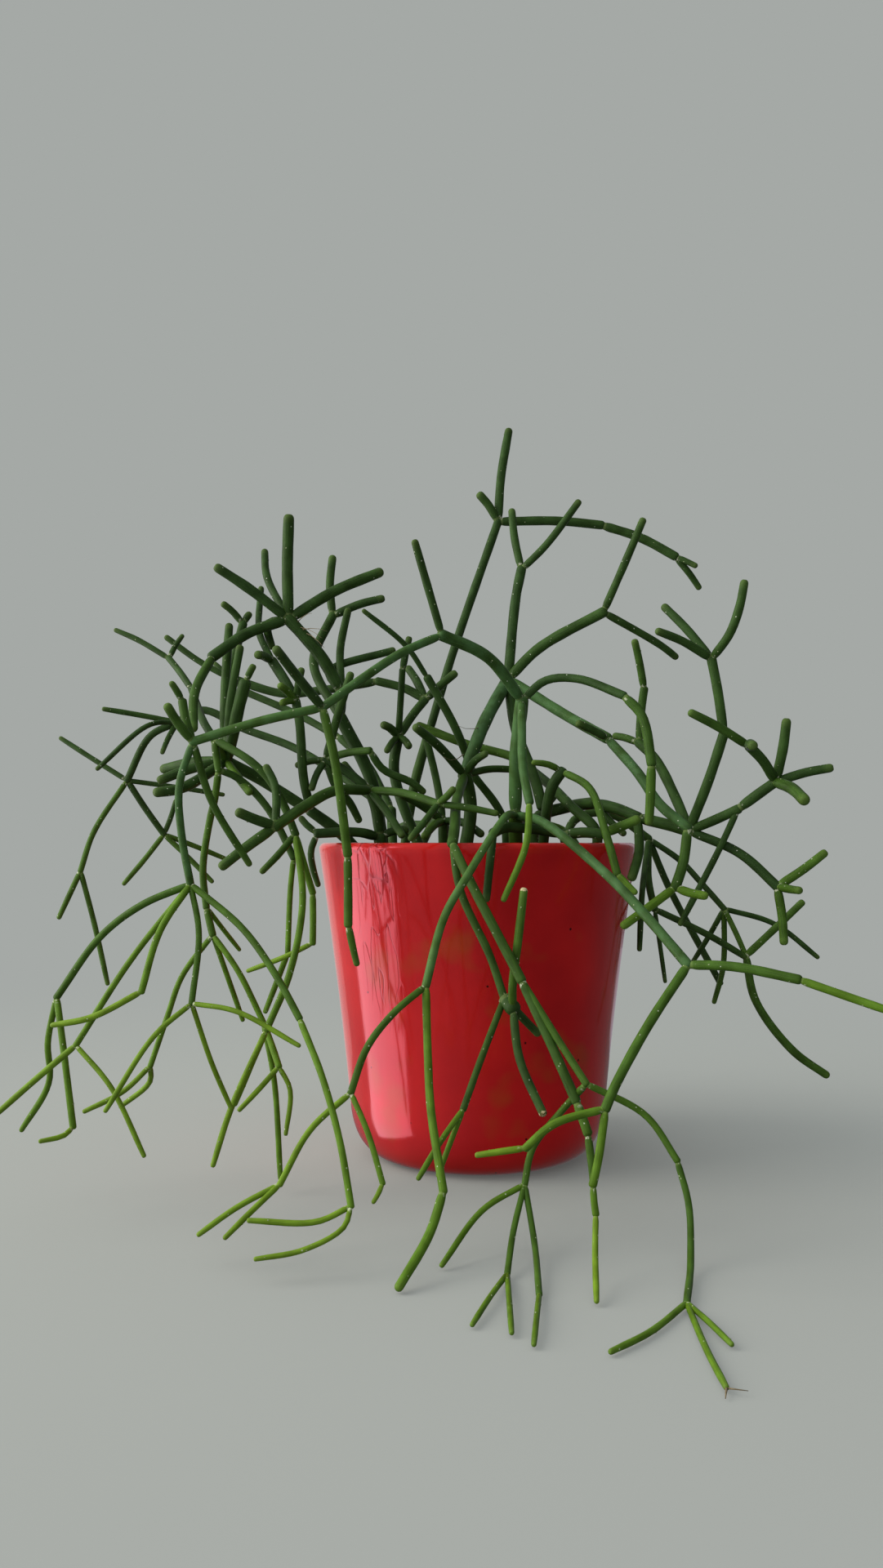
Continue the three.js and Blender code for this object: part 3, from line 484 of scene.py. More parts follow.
def matt_stuff(name, grain, detail, shades, roughness, contrast=(0.0, 1.0), bump=None):
    """A matt material of two shades that follow a grain so many millimetres across. contrast is
    where one shade turns into the other, and bump the grain's relief: its strength and height."""
    material, tree, shader, place = new_material(name)
    pattern = add(tree, "TexNoise", {"Vector": place, "Scale": every(grain), "Detail": detail})
    shade = add(tree, "MapRange", {"Value": pattern, "From Min": contrast[0],
                                   "From Max": contrast[1]})
    dark, light = (paint(hex_code) for hex_code in shades)
    colour = add(tree, "Mix", {0: shade, 6: dark, 7: light}, data_type="RGBA")
    tree.links.new(colour, shader.inputs["Base Color"])
    shader.inputs["Roughness"].default_value = roughness
    if bump:
        relief = add(tree, "Bump", {"Height": pattern, "Strength": bump[0], "Distance": bump[1]})
        tree.links.new(relief, shader.inputs["Normal"])
    return material


# Moist peat is nearly black in its hollows, composted bark brown and fibrous, and expanded
# perlite white and pitted. All are matt
peat = matt_stuff("moist_peat", 2.381, 5.0, ("#1d1510", "#463524"), 0.92, (0.32, 0.7), (0.8, 0.0012))
bark = matt_stuff("composted_bark", 3.846, 4.0, ("#35241a", "#6e4f36"), 0.8, (0.35, 0.65),
                  (0.5, 0.0006))
perlite = matt_stuff("expanded_perlite", 1.111, 2.0, ("#a8a296", "#e2ded4"), 0.9)
soil = new_piece("potting_mix", bm, peat, bark, perlite)
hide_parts("soil")
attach(soil, "root")

# The skin of the stems
# A waxy green cuticle over a juicy stem. Old stems are dark and a little grey with wax, young
# ones are yellow-green. It grew with the stems, so its patterns follow them: each place on a
# stem carries how young, waxy and corky it is, and how far it is from the joint and from the end.

SKIN_GREENS = [(0.0, "#243917"), (0.35, "#365114"), (0.68, "#4b6914"), (1.0, "#5f7a16")]
SKIN_WAX = "#4c7351"
SKIN_CORK = "#4e4029"
SKIN_TIP = "#6d7f3c"
SKIN_RING = "#8c9a5e"
SKIN_SCURF = "#c6c7b2"
SKIN_SPECK = "#c9cdb8"
CRUST_SHADES = ("#6d5a3a", "#aea27c")
STREAK_SHAPE = (3.0, 0.12, 1.0)
CORK_TOP = (SOIL_MIDDLE_HEIGHT + 9.5) * MM
CORK_FULL = (SOIL_MIDDLE_HEIGHT - 4.5) * MM

# Waxy cactus skin is matt to the eye, with a broad soft sheen
skin, tree, shader, place = new_material("waxy_cactus_skin")
along_stem = add(tree, "TexCoord", output="UV")
tone = add(tree, "Attribute", attribute_name="tone")
age, bloom, barky = (add(tree, "SeparateColor", {0: tone}, part) for part in ("Red", "Green", "Blue"))
span = add(tree, "Attribute", output="Vector", attribute_name="span")
from_joint = add(tree, "SeparateXYZ", {0: span}, "X")
from_end = add(tree, "SeparateXYZ", {0: span}, "Y")
green = add(tree, "ValToRGB", {0: age})
shades = green.node.color_ramp.elements
for position, _ in SKIN_GREENS[1:-1]:
    shades.new(position)
for element, (position, hex_code) in zip(shades, SKIN_GREENS):
    element.position = position
    element.color = paint(hex_code)
# Mottling some six millimetres across, and streaks along the stem a third of a millimetre wide
mottle = add(tree, "TexNoise", {"Vector": place, "Scale": every(5.882), "Detail": 3.0})
stretched = add(tree, "Mapping", {"Vector": along_stem, "Scale": STREAK_SHAPE})
streaks = add(tree, "TexNoise", {"Vector": stretched, "Scale": 1.0, "Detail": 3.0})
grain = add(tree, "Math", {0: mottle, 1: streaks}, operation="ADD")
value = add(tree, "MapRange", {"Value": grain, "From Min": 0.75, "From Max": 1.25, "To Min": 0.7,
                               "To Max": 1.28})
colour = add(tree, "HueSaturation", {"Color": green, "Value": value})
waxy = add(tree, "MapRange", {"Value": mottle, "From Min": 0.3, "From Max": 0.7, "To Min": 0.05,
                              "To Max": 0.36})
wax = add(tree, "Math", {0: bloom, 1: waxy}, operation="MULTIPLY")
# A main stem turns brown and corky where it enters the potting mix
height = add(tree, "SeparateXYZ", {0: place}, "Z")
low = add(tree, "MapRange", {"Value": height, "From Min": CORK_TOP, "From Max": CORK_FULL})
rooted = add(tree, "Attribute", output="Fac", attribute_name="rooted")
foot = add(tree, "Math", {0: low, 1: rooted}, operation="MULTIPLY")
corky = add(tree, "Math", {0: barky, 1: foot}, operation="MAXIMUM")
cork = add(tree, "Math", {0: corky, 1: 0.8}, operation="MULTIPLY")
# The growing end is paler over its last four millimetres
tip = add(tree, "MapRange", {"Value": from_end, "From Min": 4.0, "From Max": 0.3, "To Max": 0.18})
# A faint paler ring where one stem grows out of another, with white scurf here and there
ring_edge = add(tree, "Math", {0: mottle, 1: 1.3}, operation="MULTIPLY")
ring = add(tree, "MapRange", {"Value": from_joint, "From Min": ring_edge, "From Max": 0.1,
                              "To Max": 0.20})
flakes = add(tree, "TexNoise", {"Vector": place, "Scale": every(1.613), "Detail": 2.0})
flaky = add(tree, "MapRange", {"Value": flakes, "From Min": 0.58, "From Max": 0.64})
near_joint = add(tree, "MapRange", {"Value": from_joint, "From Min": 1.6, "From Max": 0.5,
                                    "To Max": 0.5})
scurf = add(tree, "Math", {0: flaky, 1: near_joint}, operation="MULTIPLY")
# Scurfy white specks half a millimetre wide, drawn a little larger than real ones so that they
# show, about four millimetres apart
cells = add(tree, "TexVoronoi", {"Vector": place, "Scale": every(3.846)})
speck = add(tree, "MapRange", {"Value": cells, "From Min": 0.075, "From Max": 0.045, "To Max": 0.55})
# A dried end is a flaky crust, brown in its cracks, which lie under a millimetre apart
dried = add(tree, "Attribute", output="Fac", attribute_name="dried")
cracks = add(tree, "TexNoise", {"Vector": place, "Scale": every(0.7692), "Detail": 1.0})
cracked = add(tree, "MapRange", {"Value": cracks, "From Min": 0.44, "From Max": 0.56})
dry = add(tree, "Math", {0: dried, 1: cracks}, operation="MULTIPLY")
dry = add(tree, "MapRange", {"Value": dry, "From Min": 0.34, "From Max": 0.52})
crack, flake = (paint(hex_code) for hex_code in CRUST_SHADES)
crust = add(tree, "Mix", {0: cracked, 6: crack, 7: flake}, data_type="RGBA")
# The wax, the cork and the rest lie over the green in turn, and the crust over all of them
skin_shades = [(wax, SKIN_WAX), (cork, SKIN_CORK), (tip, SKIN_TIP), (ring, SKIN_RING),
               (scurf, SKIN_SCURF), (speck, SKIN_SPECK)]
for share, hex_code in skin_shades:
    colour = add(tree, "Mix", {0: share, 6: colour, 7: paint(hex_code)}, data_type="RGBA")
colour = add(tree, "Mix", {0: dry, 6: colour, 7: crust}, data_type="RGBA")
tree.links.new(colour, shader.inputs["Base Color"])
gloss = add(tree, "MapRange", {"Value": mottle, "To Min": 0.38, "To Max": 0.58})
tree.links.new(gloss, shader.inputs["Roughness"])
bump = add(tree, "Bump", {"Height": grain, "Strength": 0.15, "Distance": 0.0003})
tree.links.new(bump, shader.inputs["Normal"])
shader.inputs["IOR"].default_value = 1.45
shader.inputs["Specular IOR Level"].default_value = 0.15

# The areoles, the small cushions that dot a cactus stem, are of pale matt felt. Bristles, and
# the small roots that stems put out in the air, are of thin dry brown fibre
felt = matt_stuff("areole_felt", 0.4, 1.0, ("#5a6a40", "#98a27c"), 0.95)
fibre = matt_stuff("dry_root_fibre", 1.429, 1.0, ("#3f3527", "#7f7052"), 0.85)

# The tall spray
# The tallest main stem, a little left of the pot's middle. One branch climbs to the top of the
# plant, and the other hangs over the front of the rim down to the floor. Each spray is grown in
# one piece. A row is one stem: its name, the stem it grows from, its thickness, the places that
# it passes, and last the place of its end, all in millimetres.

ROOT_END = 98.0
ROOT_TOP = 119.0
ROOT_BEND = 8.0
ROOT_NECK = 1.0
ROOT_TONE = (0.05, 0.0, 0.9)
SINK = 0.8
ARCH = 0.02
THICK_STEM = 3.5
THICK_SIDES = 20
THIN_SIDES = 16
FIBRE_SIDES = 4
RING_STEP = 2.4
LINE_STEPS = 14
NECK = 0.80
NECK_LENGTH = 1.8
SLIM_RADIUS = 1.4
SLIM_TAPER = 0.16
THICK_TAPER = 0.07
TAPER_LENGTH = 7
BLUNTNESS = 2.4
TIP_RINGS = (1.5, 0.9, 0.6, 0.36, 0.18, 0.06)
TIP_ROUNDING = 1.05
JOINT_RINGS = (1.2, 0.7, 0.4, 0.18, 0.05)
JOINT_ROUNDING = 0.85
DRIED_LENGTH = 1.9
DRIED_FADE = 0.9
AREOLE_STEP = 10.0
AREOLE_TURN = 2.4
AREOLE_SIZES = (0.14, 0.29)
STREAK_TURNS = 10
AGES = {"mid": 0.22, "green": 0.38, "light": 0.66, "lime": 0.92}
OLD_AGE = 0.08
THIN_WAX = 0.12
NOT_AN_END = 99.0


def smooth_line(places):
    """Many places along the smooth line that runs through a few."""
    ghosts = [2 * places[0] - places[1], *places, 2 * places[-1] - places[-2]]
    line = []
    for a, b, c, d in zip(ghosts, ghosts[1:], ghosts[2:], ghosts[3:]):
        ab, bc, cd = ((q - p).length ** 0.5 for p, q in ((a, b), (b, c), (c, d)))
        leave = ((b - a) / ab - (c - a) / (ab + bc) + (c - b) / bc) * bc
        arrive = ((c - b) / bc - (d - b) / (bc + cd) + (d - c) / cd) * bc
        for step in range(LINE_STEPS):
            t = step / LINE_STEPS
            line.append(b + leave * t + (3 * (c - b) - 2 * leave - arrive) * t ** 2
                        + (2 * (b - c) + leave + arrive) * t ** 3)
    line.append(places[-1])
    return line


def line_length(line):
    """How long a line is."""
    return sum((b - a).length for a, b in zip(line, line[1:]))


def rings_along(line, distances):
    """For each distance along a line: the place, and a turn of the axes that follows the line."""
    lengths = [0.0]
    for a, b in zip(line, line[1:]):
        lengths.append(lengths[-1] + (b - a).length)
    heading = (line[1] - line[0]).normalized()
    across = heading.orthogonal().normalized()
    rings = []
    for distance in distances:
        index = min(max(bisect.bisect(lengths, distance) - 1, 0), len(line) - 2)
        a, b = line[index], line[index + 1]
        share = (distance - lengths[index]) / (lengths[index + 1] - lengths[index])
        before = line[index - 1] if index else 2 * a - b
        after = line[index + 2] if index + 2 < len(line) else 2 * b - a
        new_heading = ((b - before) * (1 - share) + (after - a) * share).normalized()
        across = (heading.rotation_difference(new_heading) @ across).normalized()
        heading = new_heading
        side = heading.cross(across)
        turn = Matrix((across, side, heading)).transposed().to_4x4()
        rings.append((a.lerp(b, share), turn))
    return rings


def draw_out(bm, line, distances, widths, sides):
    """A round drawn out along a line, with a width at each distance, and closed at both ends.
    Gives back its rings of vertices."""
    angle = bm.verts.layers.float["angle"]
    rings = []
    for (centre, turn), width in zip(rings_along(line, distances), widths):
        shape = Matrix.Translation(centre) @ turn @ Matrix.Diagonal((width, width, width, 1))
        if rings:
            made = bmesh.ops.extrude_edge_only(bm, edges=edges)["geom"]
            ring = [part for part in made if isinstance(part, bmesh.types.BMVert)]
            edges = [part for part in made if isinstance(part, bmesh.types.BMEdge)]
            bmesh.ops.transform(bm, matrix=shape @ last.inverted(), verts=ring)
        else:
            ring = bmesh.ops.create_circle(bm, cap_ends=True, segments=sides, radius=1,
                                           matrix=shape)["verts"]
            edges = list({edge for vert in ring for edge in vert.link_edges})
            ring[0].link_faces[0].normal_flip()
            for index, vert in enumerate(ring):
                vert[angle] = index / sides
        last = shape
        rings.append(ring)
    bmesh.ops.contextual_create(bm, geom=edges)
    return rings


def stem_distances(length, radius, sunk, tapered):
    """Where the rings of a stem are: close together at its neck and its end."""
    neck = [0.0, sunk * 0.5, sunk, sunk + 0.35 * radius, sunk + 0.8 * radius, sunk + 1.5 * radius]
    end = [length - back * radius for back in (TIP_RINGS if tapered else JOINT_RINGS)]
    count = max(round((end[0] - neck[-1]) / RING_STEP), 1)
    middle = [neck[-1] + (end[0] - neck[-1]) * i / count for i in range(1, count)]
    return [d for d in neck if d < end[0] - 0.1] + [d for d in middle if d > neck[-1]] + end


def stem_width(distance, length, radius, sunk, swelling, tapered):
    """A stem's radius: pinched at its neck, a little uneven, and round at its end."""
    out = clamp((distance - sunk) / (NECK_LENGTH * radius))
    width = NECK + (1 - NECK) * out * (2 - out)
    uneven = 0.03 + 0.015 * radius
    width *= 1 + uneven * noise.noise(Vector((distance / (3 + 1.5 * radius), swelling, 0)))
    left = length - distance
    if tapered:
        slim = SLIM_TAPER if radius < SLIM_RADIUS else THICK_TAPER
        width *= 1 - slim * (1 - min(left / (TAPER_LENGTH * radius), 1.0))
    round_over = (TIP_ROUNDING if tapered else JOINT_ROUNDING) * radius
    if left < round_over:
        width *= max(1 - (1 - left / round_over) ** BLUNTNESS, 0.0) ** (1 / BLUNTNESS)
    return width * radius


def grow_stem(bm, line, radius, sunk, swelling, marks, tapered):
    """One stem along its line. Its vertices carry the marks that its skin reads."""
    length = line_length(line)
    distances = stem_distances(length, radius, sunk, tapered)
    widths = [stem_width(distance, length, radius, sunk, swelling, tapered) for distance in distances]
    sides = THICK_SIDES if 2 * radius >= THICK_STEM else THIN_SIDES
    floats, vectors = bm.verts.layers.float, bm.verts.layers.float_vector
    tones = bm.verts.layers.float_color
    for distance, ring in zip(distances, draw_out(bm, line, distances, widths, sides)):
        left = length - distance
        for vert in ring:
            vert[floats["along"]] = distance
            vert[floats["rooted"]] = marks["rooted"]
            vert[floats["dried"]] = marks["dried"] * clamp((DRIED_LENGTH - left) / DRIED_FADE)
            vert[vectors["span"]] = (max(distance - sunk, 0.0), left if tapered else NOT_AN_END, 0)
            vert[tones["tone"]] = (*marks["tone"], 1.0)


def dot_areoles(bm, line, radius, sunk, rng):
    """Small felted cushions in a spiral up the stem."""
    distances = []
    distance = sunk + rng.uniform(0.3, 1.0) * AREOLE_STEP
    while distance < line_length(line) - 1.5 * radius:
        distances.append(distance)
        distance += AREOLE_STEP * rng.uniform(0.7, 1.3)
    around = rng.uniform(0, math.tau)
    for centre, turn in rings_along(line, [0.0, *distances])[1:]:
        around += AREOLE_TURN
        size = rng.uniform(*AREOLE_SIZES)
        out = turn @ Matrix.Rotation(around, 4, "Z") @ Matrix.Translation((radius * 0.97, 0, 0))
        shape = Matrix.Translation(centre) @ out @ Matrix.Diagonal((size * 0.7, size, size * 1.3, 1))
        cushion = bmesh.ops.create_icosphere(bm, subdivisions=1, radius=1, matrix=shape)
        for face in {face for vert in cushion["verts"] for face in vert.link_faces}:
            face.material_index = 1


def add_strand(bm, start, end, sag, thickness):
    """One fine bristle or rootlet from start to end that bows by its sag."""
    bow = (start + end) / 2 + sag
    line = smooth_line([start, bow, end])
    shares = (0, 0.33, 0.66, 0.98)
    widths = [thickness / 2 * (1 - 0.7 * share) for share in shares]
    distances = [share * line_length(line) for share in shares]
    for ring in draw_out(bm, line, distances, widths, FIBRE_SIDES):
        for face in {face for vert in ring for face in vert.link_faces}:
            face.material_index = 2


def stem_mesh():
    """An empty bmesh whose vertices can carry what the skin and its streaks read."""
    bm = bmesh.new()
    for key in ("angle", "along", "rooted", "dried"):
        bm.verts.layers.float.new(key)
    bm.verts.layers.float_vector.new("span")
    bm.verts.layers.float_color.new("tone")
    return bm


def wrap_skin(bm):
    """The UV map that the streaks follow: round the stem and along it."""
    angle, along = (bm.verts.layers.float[key] for key in ("angle", "along"))
    uv = bm.loops.layers.uv.new("UVMap")
    for face in bm.faces:
        turns = [vert[angle] for vert in face.verts]
        wraps = max(turns) - min(turns) > 0.5
        for loop in face.loops:
            turn = loop.vert[angle]
            turn = turn + 1 if wraps and turn < 0.5 else turn
            loop[uv].uv = (STREAK_TURNS * turn, loop.vert[along])


def grow_spray(name, root, stems, slot, waxy="", dried="", strands=(), **ages):
    """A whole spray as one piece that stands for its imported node. ages names the stems of each
    age, and waxy and dried name the stems with a bloom or a dried end."""
    bm = stem_mesh()
    one_stem = bpy.data.meshes.new("one_stem")
    age_of = {stem: AGES[age] for age, names in ages.items() for stem in names.split()}
    rng = random.Random("stems_" + name)
    parents = {row[1] for row in stems}
    top = Vector((*root, ROOT_TOP))
    joints = {"root": (top, Vector((0, 0, 1)), stems[0][2])}
    peg = [Vector((*root, ROOT_END)), top - Vector((0, 0, ROOT_BEND)), top]
    marks = {"tone": ROOT_TONE, "rooted": 1.0, "dried": 0.0}
    grow_stem(bm, peg, stems[0][2] / 2, ROOT_NECK, 0.5, marks, False)
    for stem, parent, thickness, *places in stems:
        end, heading, parent_thickness = joints[parent]
        radius, sunk = thickness / 2, SINK * parent_thickness / 2
        passed = [Vector(place) for place in places]
        if len(passed) == 1:
            level = math.hypot(passed[0].x - end.x, passed[0].y - end.y)
            passed.insert(0, (end + passed[0]) / 2 + Vector((0, 0, ARCH * level)))
        line = smooth_line([end - heading * sunk, *passed])
        age = max(age_of.get(stem, OLD_AGE) + rng.uniform(-0.04, 0.05), 0.0)
        marks = {
            "tone": (age, 1.0 if stem in waxy.split() else THIN_WAX, 0.0),
            "rooted": float(parent == "root"),
            "dried": float(stem in dried.split()),
        }
        shoot = stem_mesh()
        grow_stem(shoot, line, radius, sunk, rng.uniform(0, 90), marks, stem not in parents)
        dot_areoles(shoot, line, radius, sunk, rng)
        shoot.to_mesh(one_stem)
        shoot.free()
        bm.from_mesh(one_stem)
        joints[stem] = (passed[-1], (line[-1] - line[-2]).normalized(), thickness)
    for start, end, sag, thickness in strands:
        add_strand(bm, Vector(start), Vector(end), Vector(sag), thickness)
    bpy.data.meshes.remove(one_stem)
    wrap_skin(bm)
    bmesh.ops.scale(bm, vec=(MM, MM, MM), verts=bm.verts)
    piece = new_piece("stems_" + name, bm, skin, felt, fibre)
    piece.shadow_terminator_geometry_offset = 0.3
    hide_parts("spray_" + name)
    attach(piece, "root")


tall_stems = [
    ["a1", "root", 5.4, [-3, -14, 140], [-6, -18, 154]],
    ["a2", "a1", 5.3, [2, -14, 172], [14, 5, 195]],
    ["a3", "a2", 4.2, [17, 12, 229], [20, 15, 244]],
    ["a4", "a3", 3.4, [17, 18, 257], [16, 22, 271]],
    ["a5", "a3", 3.2, [30, 10, 252], [44, 5, 270]],
    ["a6", "a2", 4.4, [26, 0, 206], [53, -10, 220]],
    ["a7", "a6", 3.2, [60, -14, 239], [67, -18, 256]],
    ["a8", "a6", 3.1, [76, -2, 207], [84, 2, 202]],
    ["a9", "a2", 4.4, [35, -12, 177], [51, -30, 165]],
    ["a10", "a9", 3.8, [59, -45, 151.5], [66, -53, 139], [75.5, -61, 129.5]],
    ["a11", "a9", 3.2, [37, -38, 171]],
    ["a12", "a2", 4.4, [16, -5, 171], [23, -11, 151], [26, -14, 138]],
    ["a13", "a1", 3.6, [-25, -45, 169]],
    ["a14", "a1", 3.2, [3, -30, 160]],
    ["a15", "a1", 3.9, [-9, -42, 141], [-10, -63, 130], [-11, -73, 124]],
    ["a16", "a15", 3.3, [-6, -84, 114], [12, -100, 79]],
    ["a17", "a16", 3.2, [28, -114, 43]],
    ["a18", "a17", 3.0, [31, -118, 34]],
    ["a19", "a18", 2.5, [32, -121, 19]],
    ["a20", "a15", 2.8, [-8, -76, 108], [2, -80, 86], [7, -84, 71]],
    ["a21", "a20", 2.3, [-2, -96, 53], [-8, -106, 39]],
    ["a22", "a21", 1.9, [-15, -116, 32], [-22, -126, 23]],
    ["a23", "a21", 1.8, [-16, -116, 21]],
    ["a45", "a20", 5.4, [10.5, -89, 68.5]],
    ["a24", "a45", 2.9, [9, -92, 77], [11, -94, 94.5], [13, -92, 110]],
    ["a25", "a45", 2.9, [11, -96, 54], [18, -108, 38]],
    ["a26", "a20", 2.9, [19, -80, 59]],
    ["a27", "a16", 2.4, [22, -108, 63], [31, -116, 49]],
    ["a28", "a27", 2.2, [49, -116, 40], [58, -122, 27]],
    ["a29", "a28", 2.1, [60, -126, 16], [58, -138, 4], [51, -166, 1.4]],
    ["a30", "a29", 1.7, [38, -184, 1.4], [26, -196, 1.4]],
    ["a31", "a29", 1.7, [50, -195, 1.4], [50, -215, 1.4]],
    ["a32", "a29", 1.6, [57, -192, 1.4]],
    ["a33", "a27", 2.2, [23, -108, 39], [14, -112, 29], [11, -116, 18]],
    ["a34", "a33", 1.9, [-2, -122, 13], [-15, -138, 1.4]],
    ["a35", "a33", 1.9, [7, -128, 9], [4, -145, 1.4]],
    ["a36", "a35", 1.6, [-7, -180, 1.4]],
    ["a37", "a35", 1.6, [3, -185, 1.4]],
    ["a38", "a33", 1.9, [13, -130, 6], [12, -160, 1.4]],
    ["a39", "a38", 1.6, [8, -192, 1.4]],
    ["a40", "a1", 3.0, [5, -8, 155], [19, -2, 155]],
    ["a41", "a12", 2.6, [30, -6, 142], [33.5, -2, 146]],
    ["a42", "a10", 3.7, [72.5, -62, 118], [69, -62, 107.5]],
    ["a43", "a42", 3.3, [80, -68, 106]],
    ["a44", "a42", 3.2, [49, -68, 95]],
]
grow_spray(
    "tall", (-6, -12), tall_stems, "old_stem",
    mid="a15 a16 a17 a20 a21 a9 a10 a42",
    # The young tips that hang down to the floor in front are given these darker ages rather than lime:
    # painted shade, as if they lay in shadow
    green="a27 a28 a18 a24 a19 a29 a33 a35 a38",
    light="a22 a23 a44 a43 a30 a31 a32 a34 a36 a37 a39",
    waxy="a2 a9 a10",
    dried="a24 a25",
    strands=[
        ((-6, -22, 160), (-14, -36, 158), (0, 0, -2), 0.42),
        ((2, -14, 172), (-9, -28, 171), (0, 0, -1.5), 0.42),
        ((50, -214.6, 1.3), (48.8, -218.6, 0.8), (0, 0, 0.2), 0.9),
        ((50, -214.6, 1.3), (54.6, -216.4, 1.5), (0, -0.7, 0.3), 0.5),
    ],
)

# The arching spray
# It rises at the front of the pot. One branch arches far over to the left, and the others hang
# over the front of the rim and spread towards the floor.

arch_stems = [
    ["c1", "root", 5.4, [13, -46, 137]],
    ["c2", "c1", 5.0, [13, -50, 156], [15, -58, 179]],
    ["c3", "c2", 4.2, [2, -70, 191], [-16, -80, 198]],
    ["c4", "c3", 2.8, [-20, -86, 215], [-24, -92, 228]],
    ["c5", "c3", 3.0, [-28, -88, 190], [-41, -96, 180], [-55, -100, 169]],
    ["c6", "c5", 3.2, [-60, -112, 177], [-66, -128, 185]],
    ["c7", "c5", 3.1, [-50, -98, 152], [-46, -92, 120]],
    ["c8", "c7", 2.9, [-46, -91, 96.5]],
    ["c55", "c8", 2.5, [-43, -89, 83.5]],
    ["c9", "c5", 3.1, [-74, -102, 165], [-98, -100, 158]],
    ["c10", "c2", 3.1, [23, -60, 184], [34, -66, 184], [50, -78, 176]],
    ["c11", "c10", 3.4, [55, -80, 169], [58, -82, 151]],
    ["c12", "c11", 3.4, [57, -80, 131]],
    ["c13", "c2", 3.2, [14, -68, 165], [14, -74, 151], [16, -80, 138]],
    ["c14", "c13", 2.4, [14, -86, 124], [6, -88, 105]],
    ["c15", "c1", 2.8, [8, -66, 134], [-6, -92, 114], [-14, -98, 100], [-20, -106, 78]],
    ["c16", "c15", 2.3, [-30, -112, 71], [-38, -116, 61], [-43, -120, 47]],
    ["c17", "c15", 2.6, [-19, -112, 58], [-18, -120, 43], [-14, -134, 21]],
    ["c18", "c17", 2.8, [-18, -140, 12], [-27, -156, 1.4]],
    ["c19", "c16", 2.0, [-55, -122, 37], [-64, -126, 21]],
    ["c20", "c19", 1.8, [-76, -130, 16], [-87, -134, 9]],
    ["c21", "c19", 1.8, [-78, -140, 10]],
    ["c22", "c16", 1.8, [-37, -126, 37], [-32, -132, 23]],
    ["c23", "c22", 1.6, [-35, -136, 19]],
    ["c24", "c1", 3.3, [21.5, -64, 132.5], [41, -92, 114], [51, -104, 102], [63, -118, 86]],
    ["c25", "c24", 3.0, [75, -124, 87], [93, -134, 84]],
    ["c26", "c25", 2.5, [107, -140, 79], [119, -146, 75]],
    ["c27", "c24", 3.0, [48, -126, 69], [37, -134, 53], [33, -138, 46]],
    ["c28", "c27", 2.4, [18, -140, 43], [9, -142, 36]],
    ["c29", "c28", 2.0, [-5, -140, 34]],
    ["c30", "c27", 2.5, [31, -140, 33], [29, -141, 25]],
    ["c31", "c30", 2.1, [30, -142, 17]],
    ["c32", "c31", 1.8, [29, -147, 9], [27, -165, 1.4]],
    ["c33", "c9", 2.6, [-102, -96, 144], [-102, -92, 128], [-99, -90, 110]],
    ["c34", "c9", 2.6, [-92, -92, 139], [-80, -84, 117]],
    ["c35", "c9", 3.2, [-104, -108, 170]],
    ["c36", "c9", 3.0, [-101, -98, 173]],
    ["c37", "c36", 2.6, [-104, -102, 178]],
    ["c38", "c33", 2.5, [-116, -88, 104], [-131, -84, 93], [-148, -78, 71]],
    ["c39", "c38", 2.2, [-151, -76, 56], [-151, -74, 42], [-162, -70, 24]],
    ["c40", "c38", 2.3, [-143, -84, 55], [-138, -88, 29]],
    ["c41", "c40", 1.8, [-140, -92, 28], [-147, -96, 27]],
    ["c42", "c33", 2.3, [-107, -100, 96], [-112, -104, 76]],
    ["c43", "c42", 2.1, [-127, -106, 69], [-141, -104, 66]],
    ["c44", "c33", 2.1, [-118, -94, 86], [-135, -98, 58]],
    ["c45", "c44", 2.1, [-148, -100, 47], [-159, -102, 37]],
    ["c46", "c44", 1.7, [-121, -104, 46], [-109, -108, 25]],
    ["c47", "c33", 2.1, [-95, -96, 95], [-96, -102, 72]],
    ["c48", "c47", 1.8, [-107, -106, 63], [-121, -112, 40]],
    ["c49", "c47", 1.7, [-90, -98, 53], [-84, -94, 37]],
    ["c50", "c47", 1.7, [-80, -108, 71], [-59, -114, 61]],
    ["c51", "c33", 2.3, [-80, -100, 97], [-68, -108, 83], [-59, -114, 69]],
    ["c52", "c51", 2.1, [-51, -124, 53], [-45, -132, 36], [-41, -138, 18]],
    ["c53", "c52", 1.8, [-51, -140, 15], [-71, -142, 16]],
    ["c54", "c52", 1.6, [-43, -142, 14], [-54, -146, 9], [-68, -148, 7]],
]
grow_spray(
    "arch", (14, -32), arch_stems, "old_stem",
    mid="c1 c2 c3 c5 c11 c13 c24 c33 c34 c35 c36 c37",
    green="c7 c8 c55 c9 c12 c15 c16 c25 c27 c38 c51 c47",
    light="c14 c17 c26 c28 c30 c31 c39 c40 c42 c44 c52 c22 c18",
    lime="c19 c20 c21 c23 c29 c32 c41 c43 c45 c46 c48 c49 c50 c53 c54",
    waxy="c2 c3 c5 c9 c13 c15 c24 c33",
)

# The left spray
# It leaves the pot over the left of the rim to a knot of joints, where short dark stems stand
# up and long young ones hang down.

